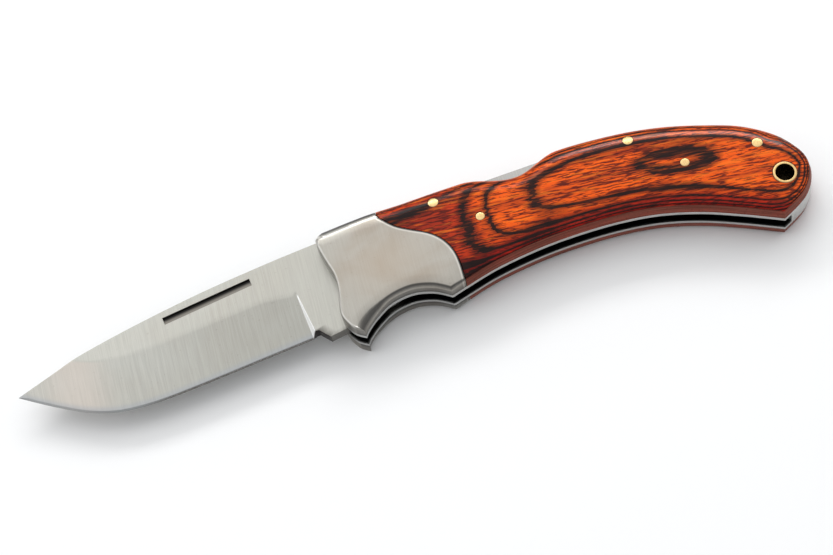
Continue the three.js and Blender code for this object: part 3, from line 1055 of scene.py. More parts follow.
    def nick_line(self, c: Array, lean: Array, offset: float) -> Array:
        """Where columns cross a line along the nick: -(x - x0) sin + (y - y0) cos = offset.

        Args:
            c: the columns' places.
            lean: their leans.
            offset: how far the line lies above the nick's middle.

        Returns:
            One height for each column.
        """
        sin, cos = math.sin(self.nick_tilt), math.cos(self.nick_tilt)
        x0, y0 = self.nick_centre
        return (offset + (c - x0) * sin + y0 * cos) / (cos + lean * sin)

    def grind_height(self, x: Array) -> Array:
        """The ground face's height over the edge, growing from the plunge."""
        share = smoothstep(-x, self.plunge_reach, self.plunge_reach + self.grind_rise)
        return self.grind_at_plunge + (self.grind_along - self.grind_at_plunge) * share

    def plunge_width(self, share: Array) -> Array:
        """The cove's width at a share of the way down the plunge line."""
        return self.plunge_width_top + (self.plunge_width_foot - self.plunge_width_top) * share

    @staticmethod
    def steps_down(a: Array, b: Array, shares: Array) -> list[tuple[Array, Array]]:
        """Rows at shares of the way from one line of heights to another, each with no depth."""
        return [(a + share * (b - a), 0 * a) for share in shares]

    def face_columns(self) -> Array:
        """The mark face: rows at heights y, sunk by the grinding, the nick and the broken edges.

        Returns:
            Columns by rows by three, from the spine down to the edge.
        """
        c = self.columns()
        lean = self.lean(c)
        top, low = self.meet(self.back, c, lean), self.meet(self.underside, c, lean)
        span = np.maximum(top - low, 0.0)
        x_low = c - lean * low
        height = self.grind_height(x_low)
        grind = np.minimum(low + height, top - 0.04 * span)
        sharp = x_low <= self.heel[0] + 0.01
        slope = np.gradient(np.interp(x_low, self.edge[:, 0], self.edge[:, 1]), x_low)
        steep = np.sqrt(1 + np.clip(slope, -1.5, 1.5) ** 2)
        keen = low + np.where(sharp, np.minimum(self.bevel_width * steep, 0.3 * span), 0.12)

        # The nick's two long sides, carried on beyond its ends at the same share of the height.
        first, last = self.nick_ends
        ends = np.clip(c, first, last)
        over, under, tilt = (np.interp(ends, c, line) for line in (top, grind, lean))
        upper, lower = (
            top - (over - self.nick_line(ends, tilt, offset)) / (over - under) * (top - grind)
            for offset in (self.nick_width / 2, -self.nick_width / 2))
        inside = (c > first - 0.02) & (c < last + 0.02)

        small = np.minimum(1.0, span / self.full_span)
        rows = [(top - inset * small, drop * small) for inset, drop in self.broken_edge]
        rows += self.steps_down(rows[-1][0], upper, np.linspace(0, 1, 6)[1:-1])
        rows += [(upper + share * (lower - upper), np.where(inside, depth, 0.0))
                 for share, depth in self.nick_floor]
        rows += self.steps_down(lower, grind, np.linspace(0, 1, 6)[1:])
        rows += self.steps_down(grind, keen, np.linspace(0, 1, 27)[1:])
        y, sunk = (np.stack(part, axis=1) for part in zip(*rows))
        full = (LEVELS.blade_face - self.edge_thickness / 2) / height[:, None]
        below = (low[:, None] + height[:, None] - y) / height[:, None]
        width = self.plunge_width(np.clip(below, 0, 1))
        cover = smoothstep((self.plunge - c)[:, None] / width, 0.0, 1.0)
        ground = cover * full * np.clip((low + height)[:, None] - y, 0, None)
        z = LEVELS.blade_face - ground - sunk

        foot, wall = [], z[:, -1]
        for k, (inset, drop) in enumerate(self.broken_edge[-2::-1]):
            share = (k + 1) / 3
            foot.append((np.where(sharp, keen + share * (low - keen), low + inset),
                         np.where(sharp, wall + share * (self.keen_thickness / 2 - wall), wall - drop)))
        foot_y, foot_z = zip(*foot)
        y, z = np.column_stack([y, *foot_y]), np.column_stack([z, *foot_z])
        face = np.stack([c[:, None] - lean[:, None] * y, y, z], axis=-1)
        face[0] = (*self.edge[0], 0.0)
        return face

    def without_nick(self, face: Array) -> Array:
        """The mark face with the nail nick filled in, for the pile face.

        Args:
            face: the mark face's points.

        Returns:
            The same with z raised in the nick's rows.
        """
        plain = face.copy()
        first = len(self.broken_edge) + 4
        rows = slice(first, first + len(self.nick_floor))
        ends = plain[:, [first - 1, first + len(self.nick_floor)], 2]
        plain[:, rows, 2] = np.maximum(plain[:, rows, 2], ends.min(axis=1)[:, None])
        return plain

    def tang_path(self, start: Array, end: Array, neck_rows: int) -> tuple[Array, int]:
        """The tang's outline from the choil round the pivot and over the shoulder to the spine.

        Args:
            start: where it leaves the last column below.
            end: where it comes back to that column above.
            neck_rows: how many steps the shoulder gets.

        Returns:
            The outline's points, and the number of the corner under the shoulder.
        """
        def line(a: Array, b: Array, steps: int) -> Array:
            """A straight line without its last point."""
            return np.linspace(a, b, steps + 1)[:-1]

        floor = self.tang_radius - self.tooth_notch
        span = np.linalg.norm(self.bar_pin)
        base = math.atan2(self.bar_pin[1], self.bar_pin[0])
        cosine = (span**2 + floor**2 - self.shoulder_radius**2) / (2 * span * floor)
        corner_angle = base + math.acos(cosine)
        foot = polar(floor, np.array([corner_angle]))[0] - self.bar_pin
        foot_angle = math.atan2(foot[1], foot[0]) % (2 * math.pi)
        rise = (self.back_at_shoulder - self.bar_pin[1]) / self.shoulder_radius
        turn = np.linspace(foot_angle, math.pi - math.asin(rise), neck_rows + 1)
        shoulder = self.bar_pin + polar(self.shoulder_radius, turn)
        shoulder[:, 1] = np.clip(shoulder[:, 1], None, self.back_at_shoulder)
        choil, kick, crook = self.choil[1], np.array(self.kick), np.array(self.crook)
        before = np.vstack([
            line(start, choil, 3), line(choil, kick, 10), line(kick, crook, 14),
            line(crook, polar(self.tang_radius, np.array([self.round_end]))[0], 16),
            polar(self.tang_radius, np.linspace(self.round_end, self.tooth_end, 90)),
            polar(floor, np.linspace(self.tooth_end + 0.01, corner_angle, 18))[:-1],
        ])
        over = line(shoulder[-1], end, self.neck_steps)
        return np.vstack([before, shoulder[:-1], over, end]), len(before)

    def build(self) -> Thing:
        """Builds the blade with its tang.

        The tang has two fields: the neck, a patch between the last column, the back, the shoulder
        and a straight line, and the round, whose spokes run in to the pivot's hole.

        Returns:
            The new object.
        """
        face = self.face_columns()
        plain = self.without_nick(face)
        skin = Skin()
        skin.grid(np.concatenate([face, plain[:, ::-1] * (1, 1, -1)], axis=1), looped=True)

        column = plain[-1]
        edge_rows = len(self.broken_edge)
        inner_row = edge_rows - 1
        split = edge_rows + int(np.argmin(np.abs(column[edge_rows:-edge_rows, 1] - self.neck_split)))
        rise = split - inner_row
        path, corner = self.tang_path(column[-1, :2], column[0, :2], rise)
        inward = normals(path)
        rings = []
        for k, (inset, drop) in enumerate(self.broken_edge):
            level = np.full(len(path), LEVELS.blade_face - drop)
            ring = np.column_stack([path + inset * inward, level])
            ring[0], ring[-1] = column[-1 - k], column[k]
            rings.append(ring)
        inner = rings[-1]
        line = np.linspace(inner[corner], column[split], self.neck_steps + 1)
        loop = np.vstack([inner[: corner + 1], line[1:], column[split + 1 : -inner_row]])[:-1]
        spoke = loop[:, :2]
        circle = polar(self.pivot_hole, np.arctan2(spoke[:, 1], spoke[:, 0]))
        share = np.linspace(0, 1, self.spoke_steps + 1)[:, None, None]
        spokes = between(share, spoke, circle)
        level = np.full((*spokes.shape[:2], 1), LEVELS.blade_face)
        spokes = np.concatenate([spokes, level], axis=-1)
        left = column[inner_row : split + 1][::-1]
        neck = fill(line[::-1], inner[corner : corner + rise + 1], inner[corner + rise :][::-1], left,
                    np.linspace(0, 1, len(line)), np.linspace(0, 1, len(left)))
        for sign in (1, -1):
            skin.grid(np.stack(rings) * (1, 1, sign))
            skin.grid(spokes * (1, 1, sign), looped=True)
            skin.grid(neck * (1, 1, sign))
        skin.grid(np.stack([rings[0], rings[0] * (1, 1, -1)]))
        skin.grid(np.stack([spokes[-1], spokes[-1] * (1, 1, -1)]), looped=True)
        blade = skin.piece("knife_blade", self.sharp_degrees)
        self.paint_zones(blade)
        return blade

    def paint_zones(self, blade: Thing) -> None:
        """Stores what the steel's material reads at each vertex.

        That is the height over the edge, the depth of the grinding, the shares of the plunge's cove,
        which gets a painted highlight, and of the side walls under the tang, which get painted shade,
        and the nick, from its lower to its upper edge, for its painted shadow.

        Args:
            blade: the blade's object.
        """
        points = vertices(blade)
        x, y, z = points.T
        ahead = x < self.choil[0, 0]
        over_edge = y - np.interp(x, self.underside[:, 0], self.underside[:, 1])
        depth = (LEVELS.blade_face - np.abs(z)) / LEVELS.blade_face
        behind = self.plunge - (x + self.lean_at_plunge * y)
        below = self.heel[1] + self.grind_at_plunge - y
        width = self.plunge_width(np.clip(below / self.grind_at_plunge, 0, 1))
        # The cove's share, for its painted highlight.
        cove = smoothstep(behind, 0.02, 0.12) * smoothstep(behind / width, 1.0, 0.8)
        # The side walls under the tang take painted shade, lighter beyond the kick.
        corners = [self.heel, *self.choil, self.kick, self.crook]
        rim = np.vstack([np.linspace(a, b, 30) for a, b in zip(corners, corners[1:])])
        near = smoothstep(nearest(points[:, :2], rim)[0], 0.2, 0.08)
        lit = 1 - 0.45 * smoothstep(x, self.kick[0] - 0.1, self.kick[0] + 0.2)
        wall = near * lit * smoothstep(x, self.heel[0] - 0.1, self.heel[0] + 0.2)
        # Across the nick, for its painted shadow.
        sin, cos = math.sin(self.nick_tilt), math.cos(self.nick_tilt)
        dx, dy = x - self.nick_centre[0], y - self.nick_centre[1]
        along, across = dx * cos + dy * sin, dy * cos - dx * sin
        half = self.nick_width / 2
        within = (np.abs(along) < self.nick_length / 2 + 0.05) & (np.abs(across) < half + 0.05)
        sunk = within & (z > 0) & (z < LEVELS.blade_face - 0.1)
        paint(blade, over_edge=np.where(ahead, over_edge, 20.0), ground=np.where(ahead, depth, 0.0),
              cove=cove * smoothstep(below, 0.0, 0.8), wall=wall,
              nick=sunk * (0.2 + 0.8 * np.clip((across + half) / (2 * half), 0, 1)))


def shade(red: int, green: int, blue: int) -> tuple[float, float, float, float]:
    """A colour's screen values, 0 to 255, as the light that it reflects, with 1 at the end."""
    values = (value / 255 for value in (red, green, blue))
    return *(v / 12.92 if v <= 0.04045 else ((v + 0.055) / 1.055) ** 2.4 for v in values), 1.0


class Ease(Enum):
    """How a value goes from one range to another: eased at both ends, or evenly."""

    SMOOTH = "SMOOTHSTEP"
    EVEN = "LINEAR"


@dataclass
class Wiring:
    """A node tree, with short ways to add nodes and join them."""

    tree: bpy.types.NodeTree

    def add(self, kind: str, inputs: dict[str | int, Value] | None = None,
            **settings: str | float) -> bpy.types.Node:
        """Adds a node.

        Args:
            kind: its type, without the word ShaderNode.
            inputs: a value or another node's output for each input.
            settings: its properties.

        Returns:
            The node.
        """
        node = self.tree.nodes.new(f"ShaderNode{kind}")
        for name, value in settings.items():
            setattr(node, name, value)
        for name, value in (inputs or {}).items():
            if isinstance(value, Socket):
                self.tree.links.new(value, node.inputs[name])
            else:
                node.inputs[name].default_value = value
        return node

    def math(self, operation: str, a: Value, b: Value = 0.0) -> Socket:
        """The result of a sum or comparison of two numbers."""
        return self.add("Math", {0: a, 1: b}, operation=operation).outputs[0]

    def times(self, a: Value, b: Value) -> Socket:
        """The product of two numbers."""
        return self.math("MULTIPLY", a, b)

    def plus(self, a: Value, b: Value) -> Socket:
        """The sum of two numbers."""
        return self.math("ADD", a, b)

    def minus(self, a: Value, b: Value) -> Socket:
        """The first number less the second."""
        return self.math("SUBTRACT", a, b)

    def fit(self, value: Value, low: Value, high: Value, start: float = 0.0, end: float = 1.0,
            ease: Ease = Ease.SMOOTH) -> Socket:
        """A value brought from the range low to high to the range start to end, and kept in it."""
        inputs = {"Value": value, "From Min": low, "From Max": high, "To Min": start, "To Max": end}
        return self.add("MapRange", inputs, interpolation_type=ease.value).outputs[0]

    def mix(self, share: Value, a: Value, b: Value, blend: str = "MIX") -> Socket:
        """Two colours mixed by a share."""
        return self.add("Mix", {0: share, 6: a, 7: b}, data_type="RGBA", blend_type=blend).outputs[2]

    def noise(self, place: Value, scale: Value, detail: float = 2.0, distortion: float = 0.0,
              shift: Triple = (0, 0, 0)) -> Socket:
        """Noise stretched along the axes.

        Args:
            place: the coordinates.
            scale: how many features there are in a metre along each.
            detail: how many finer layers it has.
            distortion: how far it is pushed about by itself.
            shift: where it starts.

        Returns:
            The noise, about 0 to 1.
        """
        stretched = self.add("Mapping", {"Vector": place, "Scale": scale, "Location": shift})
        inputs = {"Vector": stretched.outputs[0], "Scale": 1.0, "Detail": detail,
                  "Distortion": distortion}
        return self.add("TexNoise", inputs).outputs[0]

    def here(self) -> Socket:
        """The object's own coordinates."""
        return self.add("TexCoord").outputs["Object"]

    def stored(self, *names: str) -> list[Socket]:
        """Numbers stored at the vertices."""
        return [self.add("Attribute", attribute_name=name).outputs["Fac"] for name in names]


@dataclass
class Effect(Wiring):
    """A node group that several finishes share, with its inputs and its one output."""

    inputs: dict[str, Socket]
    output: str

    @classmethod
    def start(cls, name: str, output: str, **defaults: float | Triple) -> "Effect":
        """Starts a group.

        Args:
            name: the group's name.
            output: the name of the number that it puts out.
            defaults: each input's default, a number or three.

        Returns:
            The group.
        """
        tree = bpy.data.node_groups.new(name, "ShaderNodeTree")
        for key, default in defaults.items():
            kind = "NodeSocketFloat" if isinstance(default, float) else "NodeSocketVector"
            tree.interface.new_socket(key, in_out="INPUT", socket_type=kind).default_value = default
        tree.interface.new_socket(output, in_out="OUTPUT", socket_type="NodeSocketFloat")
        inputs = tree.nodes.new("NodeGroupInput").outputs
        return cls(tree, {key: inputs[key] for key in defaults}, output)

    def end(self, value: Socket) -> bpy.types.NodeTree:
        """Ends the group with what it puts out."""
        self.tree.links.new(value, self.tree.nodes.new("NodeGroupOutput").inputs[self.output])
        return self.tree

    @classmethod
    def brushed(cls) -> bpy.types.NodeTree:
        """Fine lines left by a belt: noise drawn out along one axis, in two sizes.

        Returns:
            The group. Its Lines, about 0 to 1, are for tone, roughness and height.
        """
        group = cls.start("brushed lines", "Lines", Across=(4000.0, 60.0, 400.0),
                          Coarse=(900.0, 25.0, 90.0))
        here = group.here()
        fine = group.noise(here, group.inputs["Across"], 2.0)
        coarse = group.noise(here, group.inputs["Coarse"], 3.0)
        return group.end(group.times(group.plus(fine, coarse), 0.5))

    @classmethod
    def smudges(cls) -> bpy.types.NodeTree:
        """Soft patches from handling: slow noise pushed about by itself.

        Returns:
            The group. Its Patches are about 0 to 1.
        """
        group = cls.start("smudges", "Patches", Scale=90.0, Contrast=0.5)
        inputs = {"Vector": group.here(), "Scale": group.inputs["Scale"], "Detail": 3.0,
                  "Distortion": 0.6}
        noise = group.add("TexNoise", inputs).outputs[0]
        low = group.minus(0.5, group.times(group.inputs["Contrast"], 0.5))
        return group.end(group.fit(noise, low, group.minus(1.0, low), ease=Ease.EVEN))

    @classmethod
    def specks(cls) -> bpy.types.NodeTree:
        """Tiny pits and dust: the darkest spots of a fine noise.

        Returns:
            The group. Its Specks are 1 in a speck and 0 elsewhere.
        """
        group = cls.start("specks", "Specks", Scale=1500.0, Share=0.3)
        inputs = {"Vector": group.here(), "Scale": group.inputs["Scale"], "Detail": 1.0}
        noise = group.add("TexNoise", inputs).outputs[0]
        share = group.inputs["Share"]
        return group.end(group.fit(noise, share, group.plus(share, 0.06), 1.0, 0.0, Ease.EVEN))


class Finish(Wiring):
    """A material under construction: its nodes, its shader and the colour laid down so far."""

    groups: dict[Callable, bpy.types.NodeTree] = {}

    def __init__(self, name: str, tone: Tint, **fixed: float) -> None:
        """Starts a material.

        Args:
            name: its name.
            tone: its first colour.
            fixed: values for the shader's inputs, with underscores for spaces.
        """
        self.material = bpy.data.materials.new(name)
        self.material.use_nodes = True
        super().__init__(self.material.node_tree)
        self.shader = next(node for node in self.tree.nodes if node.type == "BSDF_PRINCIPLED")
        self.colour: Value = shade(*tone)
        for key, value in fixed.items():
            self.shader.inputs[key.replace("_", " ")].default_value = value

    def group(self, make: Callable, **inputs: Value) -> Socket:
        """Places a shared group.

        Args:
            make: the method of Effect that makes it.
            inputs: its values here.

        Returns:
            Its output.
        """
        if make not in Finish.groups:
            Finish.groups[make] = make()
        node = self.add("Group", node_tree=Finish.groups[make])
        for key, value in inputs.items():
            node.inputs[key].default_value = value
        return node.outputs[0]

    def lay(self, mask: Value, over: Tint | Socket, weight: Value = 1.0) -> None:
        """Lays a colour over the one so far, by a mask times a weight."""
        share = mask if weight == 1.0 else self.times(mask, weight)
        self.colour = self.mix(share, self.colour, over if isinstance(over, Socket) else shade(*over))

    def join(self, **sockets: Socket) -> None:
        """Joins outputs to the shader's inputs."""
        for key, socket in sockets.items():
            self.tree.links.new(socket, self.shader.inputs[key.replace("_", " ")])

    def bump(self, height: Value, distance: float) -> None:
        """Raises the surface by a height map; distance in metres."""
        inputs = {"Height": height, "Distance": distance, "Strength": 1.0}
        self.join(Normal=self.add("Bump", inputs).outputs[0])

    def done(self, **sockets: Socket) -> Material:
        """Joins the colour and the last outputs to the shader, and returns the material."""
        self.join(Base_Color=self.colour, **sockets)
        return self.material


@dataclass(frozen=True)
class SatinSteel:
    """Steel drawn on a belt: lines across the knife, soft patches and a few specks."""

    name: str
    tone: Tint
    warm: Tint
    roughness: float = 0.3
    across: Triple = (7000.0, 150.0, 900.0)
    coarse: Triple = (2900.0, 60.0, 500.0)
    contrast: float = 0.1
    patch_scale: float = 70.0
    patch_share: float = 0.5
    dust: Tint = (90, 80, 70)
    depth: float = 0.000002

    def build(self) -> Material:
        """Builds the material.

        Returns:
            The material.
        """
        finish = Finish(self.name, self.tone, Metallic=1.0, Roughness=self.roughness)
        lines = finish.group(Effect.brushed, Across=self.across, Coarse=self.coarse)
        patches = finish.group(Effect.smudges, Scale=self.patch_scale, Contrast=0.45)
        finish.lay(finish.fit(patches, 0.2, 1.0), self.warm, self.patch_share)
        dark = finish.fit(lines, 0.35, 0.65, 1.0 - self.contrast, 1.0 + self.contrast * 0.5)
        grey = finish.add("CombineColor", {0: dark, 1: dark, 2: dark}).outputs[0]
        finish.colour = finish.mix(1.0, finish.colour, grey, "MULTIPLY")
        finish.lay(finish.group(Effect.specks, Scale=1400.0, Share=0.24), self.dust, 0.15)
        rough = finish.fit(lines, 0.3, 0.7, self.roughness + 0.05, self.roughness - 0.03)
        finish.bump(lines, self.depth)
        self.add_zones(finish)
        return finish.done(Roughness=finish.plus(rough, finish.times(patches, 0.04)))

    def add_zones(self, finish: Finish) -> None:
        """Lays the zones of one kind of steel over the satin; plain satin has none."""


@dataclass(frozen=True)
class BladeSteel(SatinSteel):
    """The blade's steel: ground zone, band by the edge, keen edge, and painted light: a highlight in
    the cove, shade on the walls under the tang and shadow in the milled nick.
    """

    bevel: Tint = (118, 118, 112)
    handle_side_grey: Tint = (130, 126, 116)
    tip_side_tint: Tint = (196, 182, 172)
    band: Tint = (146, 152, 160)
    keen: Tint = (150, 146, 140)
    burr: Tint = (84, 78, 72)
    # Painted highlight: the plunge's cove nearly white.
    cove: Tint = (252, 252, 250)
    # Painted shade on the side walls under the tang.
    wall: Tint = (44, 38, 35)
    # Painted shadow in the nick: a dark lower lip, a grey floor, black under the upper wall.
    nick: tuple[Tint, Tint, Tint] = ((60, 58, 56), (114, 110, 104), (30, 29, 28))

    def add_zones(self, finish: Finish) -> None:
        """Lays the zones over the satin steel. Ranges over x are in metres, over the edge in mm.

        Args:
            finish: the satin steel.
        """
        over_edge, ground, nick, cove, wall = finish.stored(
            "over_edge", "ground", "nick", "cove", "wall")
        x = finish.add("SeparateXYZ", {0: finish.here()}).outputs[0]
        # The ground zone darker grey, more so towards the handle; over the whole face a darker grey
        # that grows towards the handle; a lighter warm tint on the ground zone near the tip.
        zone = finish.fit(ground, 0.0, 0.05)
        finish.lay(zone, self.bevel, finish.fit(x, -0.085, -0.018, 0.1, 0.34))
        handle_side_grey = finish.minus(finish.fit(x, -0.09, -0.01, 0.24, 0.42), finish.times(zone, 0.15))
        finish.lay(handle_side_grey, self.handle_side_grey)
        tip = finish.times(
            finish.fit(x, -0.066, -0.076, 0.0, 0.4), finish.fit(x, -0.088, -0.078, 0.2, 1.0))
        finish.lay(zone, self.tip_side_tint, tip)
        finish.lay(finish.fit(over_edge, 0.5, 2.4, 1.0, 0.0), self.band, 0.5)
        burr = finish.group(Effect.specks, Scale=5200.0, Share=0.5)
        worn = finish.mix(burr, shade(*self.keen), shade(*self.burr))
        finish.lay(finish.fit(over_edge, 0.38, 0.52, 1.0, 0.0), worn,
                   finish.fit(x, -0.066, -0.052, 0.0, 0.75))
        # Painted highlight in the cove, which is also made less metallic.
        finish.lay(cove, self.cove)
        # Painted shade on the walls under the tang, lighter beyond the kick.
        finish.lay(wall, self.wall)
        # Painted shadow in the nick, from the lower lip to black under the upper wall.
        for tint, low, high in zip(self.nick, (0.0, 0.26, 0.45), (0.15, 0.34, 0.85)):
            finish.lay(finish.fit(nick, low, high), tint)
        finish.join(Metallic=finish.fit(cove, 0.0, 1.0, 1.0, 0.25))


@dataclass(frozen=True)
class BolsterSteel(SatinSteel):
    """The bolsters' steel: warm in the middle, with painted shade on its bevels and painted highlights
    on its rims.
    """

    def add_zones(self, finish: Finish) -> None:
        """Lays the warm middle, the painted shade of the bevels and the painted highlights of the rims
        over the satin steel.

        Args:
            finish: the satin steel.
        """
        bevel, rim, middle = finish.stored("bevel", "rim", "middle")
        finish.lay(middle, (160, 146, 130), 0.45)
        # Painted shade: dark steel on the notch's bevel and wall, on the back's steep rounding and
        # beside the seam.
        finish.lay(bevel, (52, 52, 54), 0.92)
        # Painted highlight: near-white lines along the rims.
        finish.lay(rim, (250, 248, 242), 0.7)


@dataclass(frozen=True)
class LinerSteel(SatinSteel):
    """The steel between the sides: bright where it shows, with painted shade inside."""

    def add_zones(self, finish: Finish) -> None:
        """Lays the painted shade of the inside over the satin steel."""
        # Painted shade: the inner faces darkened where the gap between the liners lies in shadow.
        finish.lay(finish.stored("inside")[0], (22, 20, 18), 0.95)


@dataclass(frozen=True)
class PlainMetal:
    """A small metal piece: one tone with soft patches, fine scratches, specks and painted shade in its
    bore.
    """

    name: str
    tone: Tint
    dull: Tint
    roughness: float = 0.25
    # Painted shade inside the lanyard tube's bore.
    bore: Tint = (16, 11, 6)
    depth: float = 0.000002

    def build(self) -> Material:
        """Builds the material.

        Returns:
            The material.
        """
        finish = Finish(self.name, self.tone, Metallic=1.0, Roughness=self.roughness)
        scratch = finish.noise(finish.here(), (6000.0, 500.0, 500.0), 3.0)
        finish.lay(finish.group(Effect.smudges, Scale=500.0, Contrast=0.6), self.dull, 0.45)
        finish.lay(finish.group(Effect.specks, Scale=2500.0, Share=0.3), self.dull, 0.3)
        # Painted shade down the bore.
        finish.lay(finish.stored("bore")[0], self.bore)
        finish.bump(scratch, self.depth)
        return finish.done(
            Roughness=finish.fit(scratch, 0.3, 0.7, self.roughness - 0.05, self.roughness + 0.12))


@dataclass(frozen=True)
class LaminatedWood:
    """Dyed veneers pressed into a block and cut to a crowned side, under lacquer.

    The stored layer number says how deep the cut lies in the block. Each whole number is a dark
    glue line, and wobble along the grain frays it where the cut runs almost level with the veneers.
    """

    name: str = "laminated wood"
    inner: Tint = (236, 90, 10)
    middle: Tint = (204, 58, 10)
    outer: Tint = (118, 24, 10)
    # Painted shade: the darker red of the belly's side, which turns away from the light.
    belly: Tint = (150, 14, 5)
    pore: Tint = (72, 12, 6)
    glue: Tint = (16, 6, 5)
    # Lighter streaks, and their darker copy for the belly's side, which is painted shade.
    light: tuple[Tint, Tint] = ((250, 122, 26), (196, 44, 12))
    # Painted highlight on the back's rounding.
    shoulder: Tint = (216, 122, 84)
    # The cut edge's layers, lightened to a dusty tone that is partly a painted reflection of the floor.
    cut_edge: tuple[Tint, Tint] = ((140, 80, 66), (112, 62, 50))
    depth: float = 0.000012

    def build(self) -> Material:
        """Builds the material: veneers, grain, glue lines, painted shade and highlight, the cut edge
        and the dust.

        Returns:
            The material.
        """
        finish = Finish(self.name, self.outer, Roughness=0.5, Coat_Weight=0.2, Coat_Roughness=0.12,
                        Specular_IOR_Level=0.06)
        layer, run, width, wall, shoulder, belly, tone, streaky, lacquer, socket = finish.stored(
            "layer", "layer_run", "line_width", "wall", "shoulder", "belly", "tone", "streaky",
            "lacquer", "socket")
        along = self.along_grain(finish)
        level, streak = self.level(finish, along, layer, run)
        finish.lay(finish.fit(tone, 0.3, 0.55), self.middle)
        finish.lay(finish.fit(tone, 0.5, 0.75), self.inner)
        broad = finish.noise(along, (26.0, 420.0, 420.0), 3.0, 0.4, shift=(0.5, 4.0, 1.0))
        finish.lay(finish.fit(broad, 0.46, 0.74, 0.0, 0.8), self.outer)
        # Painted shade: the belly's side darker and redder.
        low = finish.fit(belly, 0.1, 0.45)
        finish.lay(low, self.belly, 0.85)
        more = finish.times(streaky, 0.05)
        fleck = finish.noise(along, (330.0, 2600.0, 2600.0), 2.0, 0.3)
        thick = finish.noise(along, (150.0, 1500.0, 1500.0), 2.0, 0.3, shift=(2.0, 8.0, 0.0))
        grain = finish.math("MAXIMUM", finish.fit(finish.plus(fleck, more), 0.5, 0.6),
                            finish.fit(finish.plus(thick, more), 0.56, 0.66))
        finish.lay(grain, self.pore, 0.9)
        light = finish.noise(along, (130.0, 1500.0, 1500.0), 2.0, shift=(7.0, 1.0, 0.0))
        # On the belly's side the lighter streaks take their painted-shade copy.
        bright = finish.mix(low, *(shade(*tint) for tint in self.light))
        finish.lay(finish.fit(light, 0.53, 0.68, 0.0, 0.5), bright)
        line = self.glue_line(finish, along, level, width)
        line = finish.times(line, finish.fit(shoulder, 0.0, 1.0, 1.0, 0.25))
        gaps = finish.times(finish.fit(light, 0.5, 0.62), finish.fit(streaky, 0.0, 1.0, 0.05, 0.3))
        line = finish.times(line, finish.minus(1.0, gaps))
        finish.lay(finish.math("MAXIMUM", line, socket), self.glue)
        # Painted highlight on the back's rounding.
        finish.lay(shoulder, self.shoulder, 0.3)
        # The cut edge's layers, in a dusty tone that is partly a painted reflection of the floor.
        layers = finish.fit(finish.noise(finish.here(), (60.0, 60.0, 4200.0), 1.0), 0.4, 0.6)
        finish.lay(wall, finish.mix(layers, *(shade(*tint) for tint in self.cut_edge)), 0.8)
        finish.lay(finish.group(Effect.specks, Scale=1800.0, Share=0.26), self.glue, 0.4)
        patches = finish.group(Effect.smudges, Scale=60.0, Contrast=0.5)
        finish.bump(finish.plus(finish.times(grain, -0.5), finish.times(streak, 0.4)), self.depth)
        return finish.done(Roughness=finish.fit(patches, 0.0, 1.0, 0.4, 0.52), Coat_Weight=lacquer)

    @staticmethod
    def along_grain(finish: Finish) -> Socket:
        """The object's coordinates with y measured from the bent grain.

        Args:
            finish: the wood.

        Returns:
            The coordinates.
        """
        axes = finish.add("SeparateXYZ", {0: finish.here()}).outputs
        bent = finish.minus(axes[1], finish.times(finish.stored("grain_rise")[0], MM))
        return finish.add("CombineXYZ", {0: axes[0], 1: bent, 2: axes[2]}).outputs[0]

    @staticmethod
    def level(finish: Finish, along: Value, layer: Value, run: Value) -> tuple[Socket, Socket]:
        """The layer number with each place moved along the grain by streaky noise.

        Args:
            finish: the wood.
            along: the coordinates along the grain.
            layer: the stored layer number.
            run: its change along the grain.

        Returns:
            The moved number and the noise.
        """
        streak = finish.noise(along, (90.0, 2300.0, 2300.0), 3.0, 0.2)
        slow = finish.noise(along, (50.0, 260.0, 260.0), 2.0, shift=(3.1, 0.7, 0.2))
        off_streak = finish.minus(streak, 0.5)
        shift = finish.plus(finish.times(off_streak, 7.0), finish.times(finish.minus(slow, 0.5), 6.0))
        level = finish.plus(layer, finish.times(run, shift))
        return finish.plus(level, finish.times(off_streak, 0.07)), streak

    @staticmethod
    def glue_line(finish: Finish, along: Value, level: Value, width: Value) -> Socket:
        """Dark where the level is near a whole number: a black core with a softer fringe.

        Args:
            finish: the wood.
            along: the coordinates along the grain.
            level: the layer number.
            width: the line's half width in layers.

        Returns:
            How dark it is, 0 to 1.
        """
        whole = finish.math("FRACT", finish.plus(level, 0.5))
        off = finish.math("ABSOLUTE", finish.minus(whole, 0.5))
        change = finish.noise(along, (60.0, 260.0, 260.0), 2.0, shift=(9.0, 2.0, 0.0))
        width = finish.times(finish.fit(change, 0.3, 0.7, 0.7, 1.5), width)
        core = finish.fit(off, finish.times(width, 0.6), width, 0.98, 0.0)
        fringe = finish.fit(off, width, finish.times(width, 2.4), 0.6, 0.0, Ease.EVEN)
        return finish.math("MAXIMUM", core, fringe)


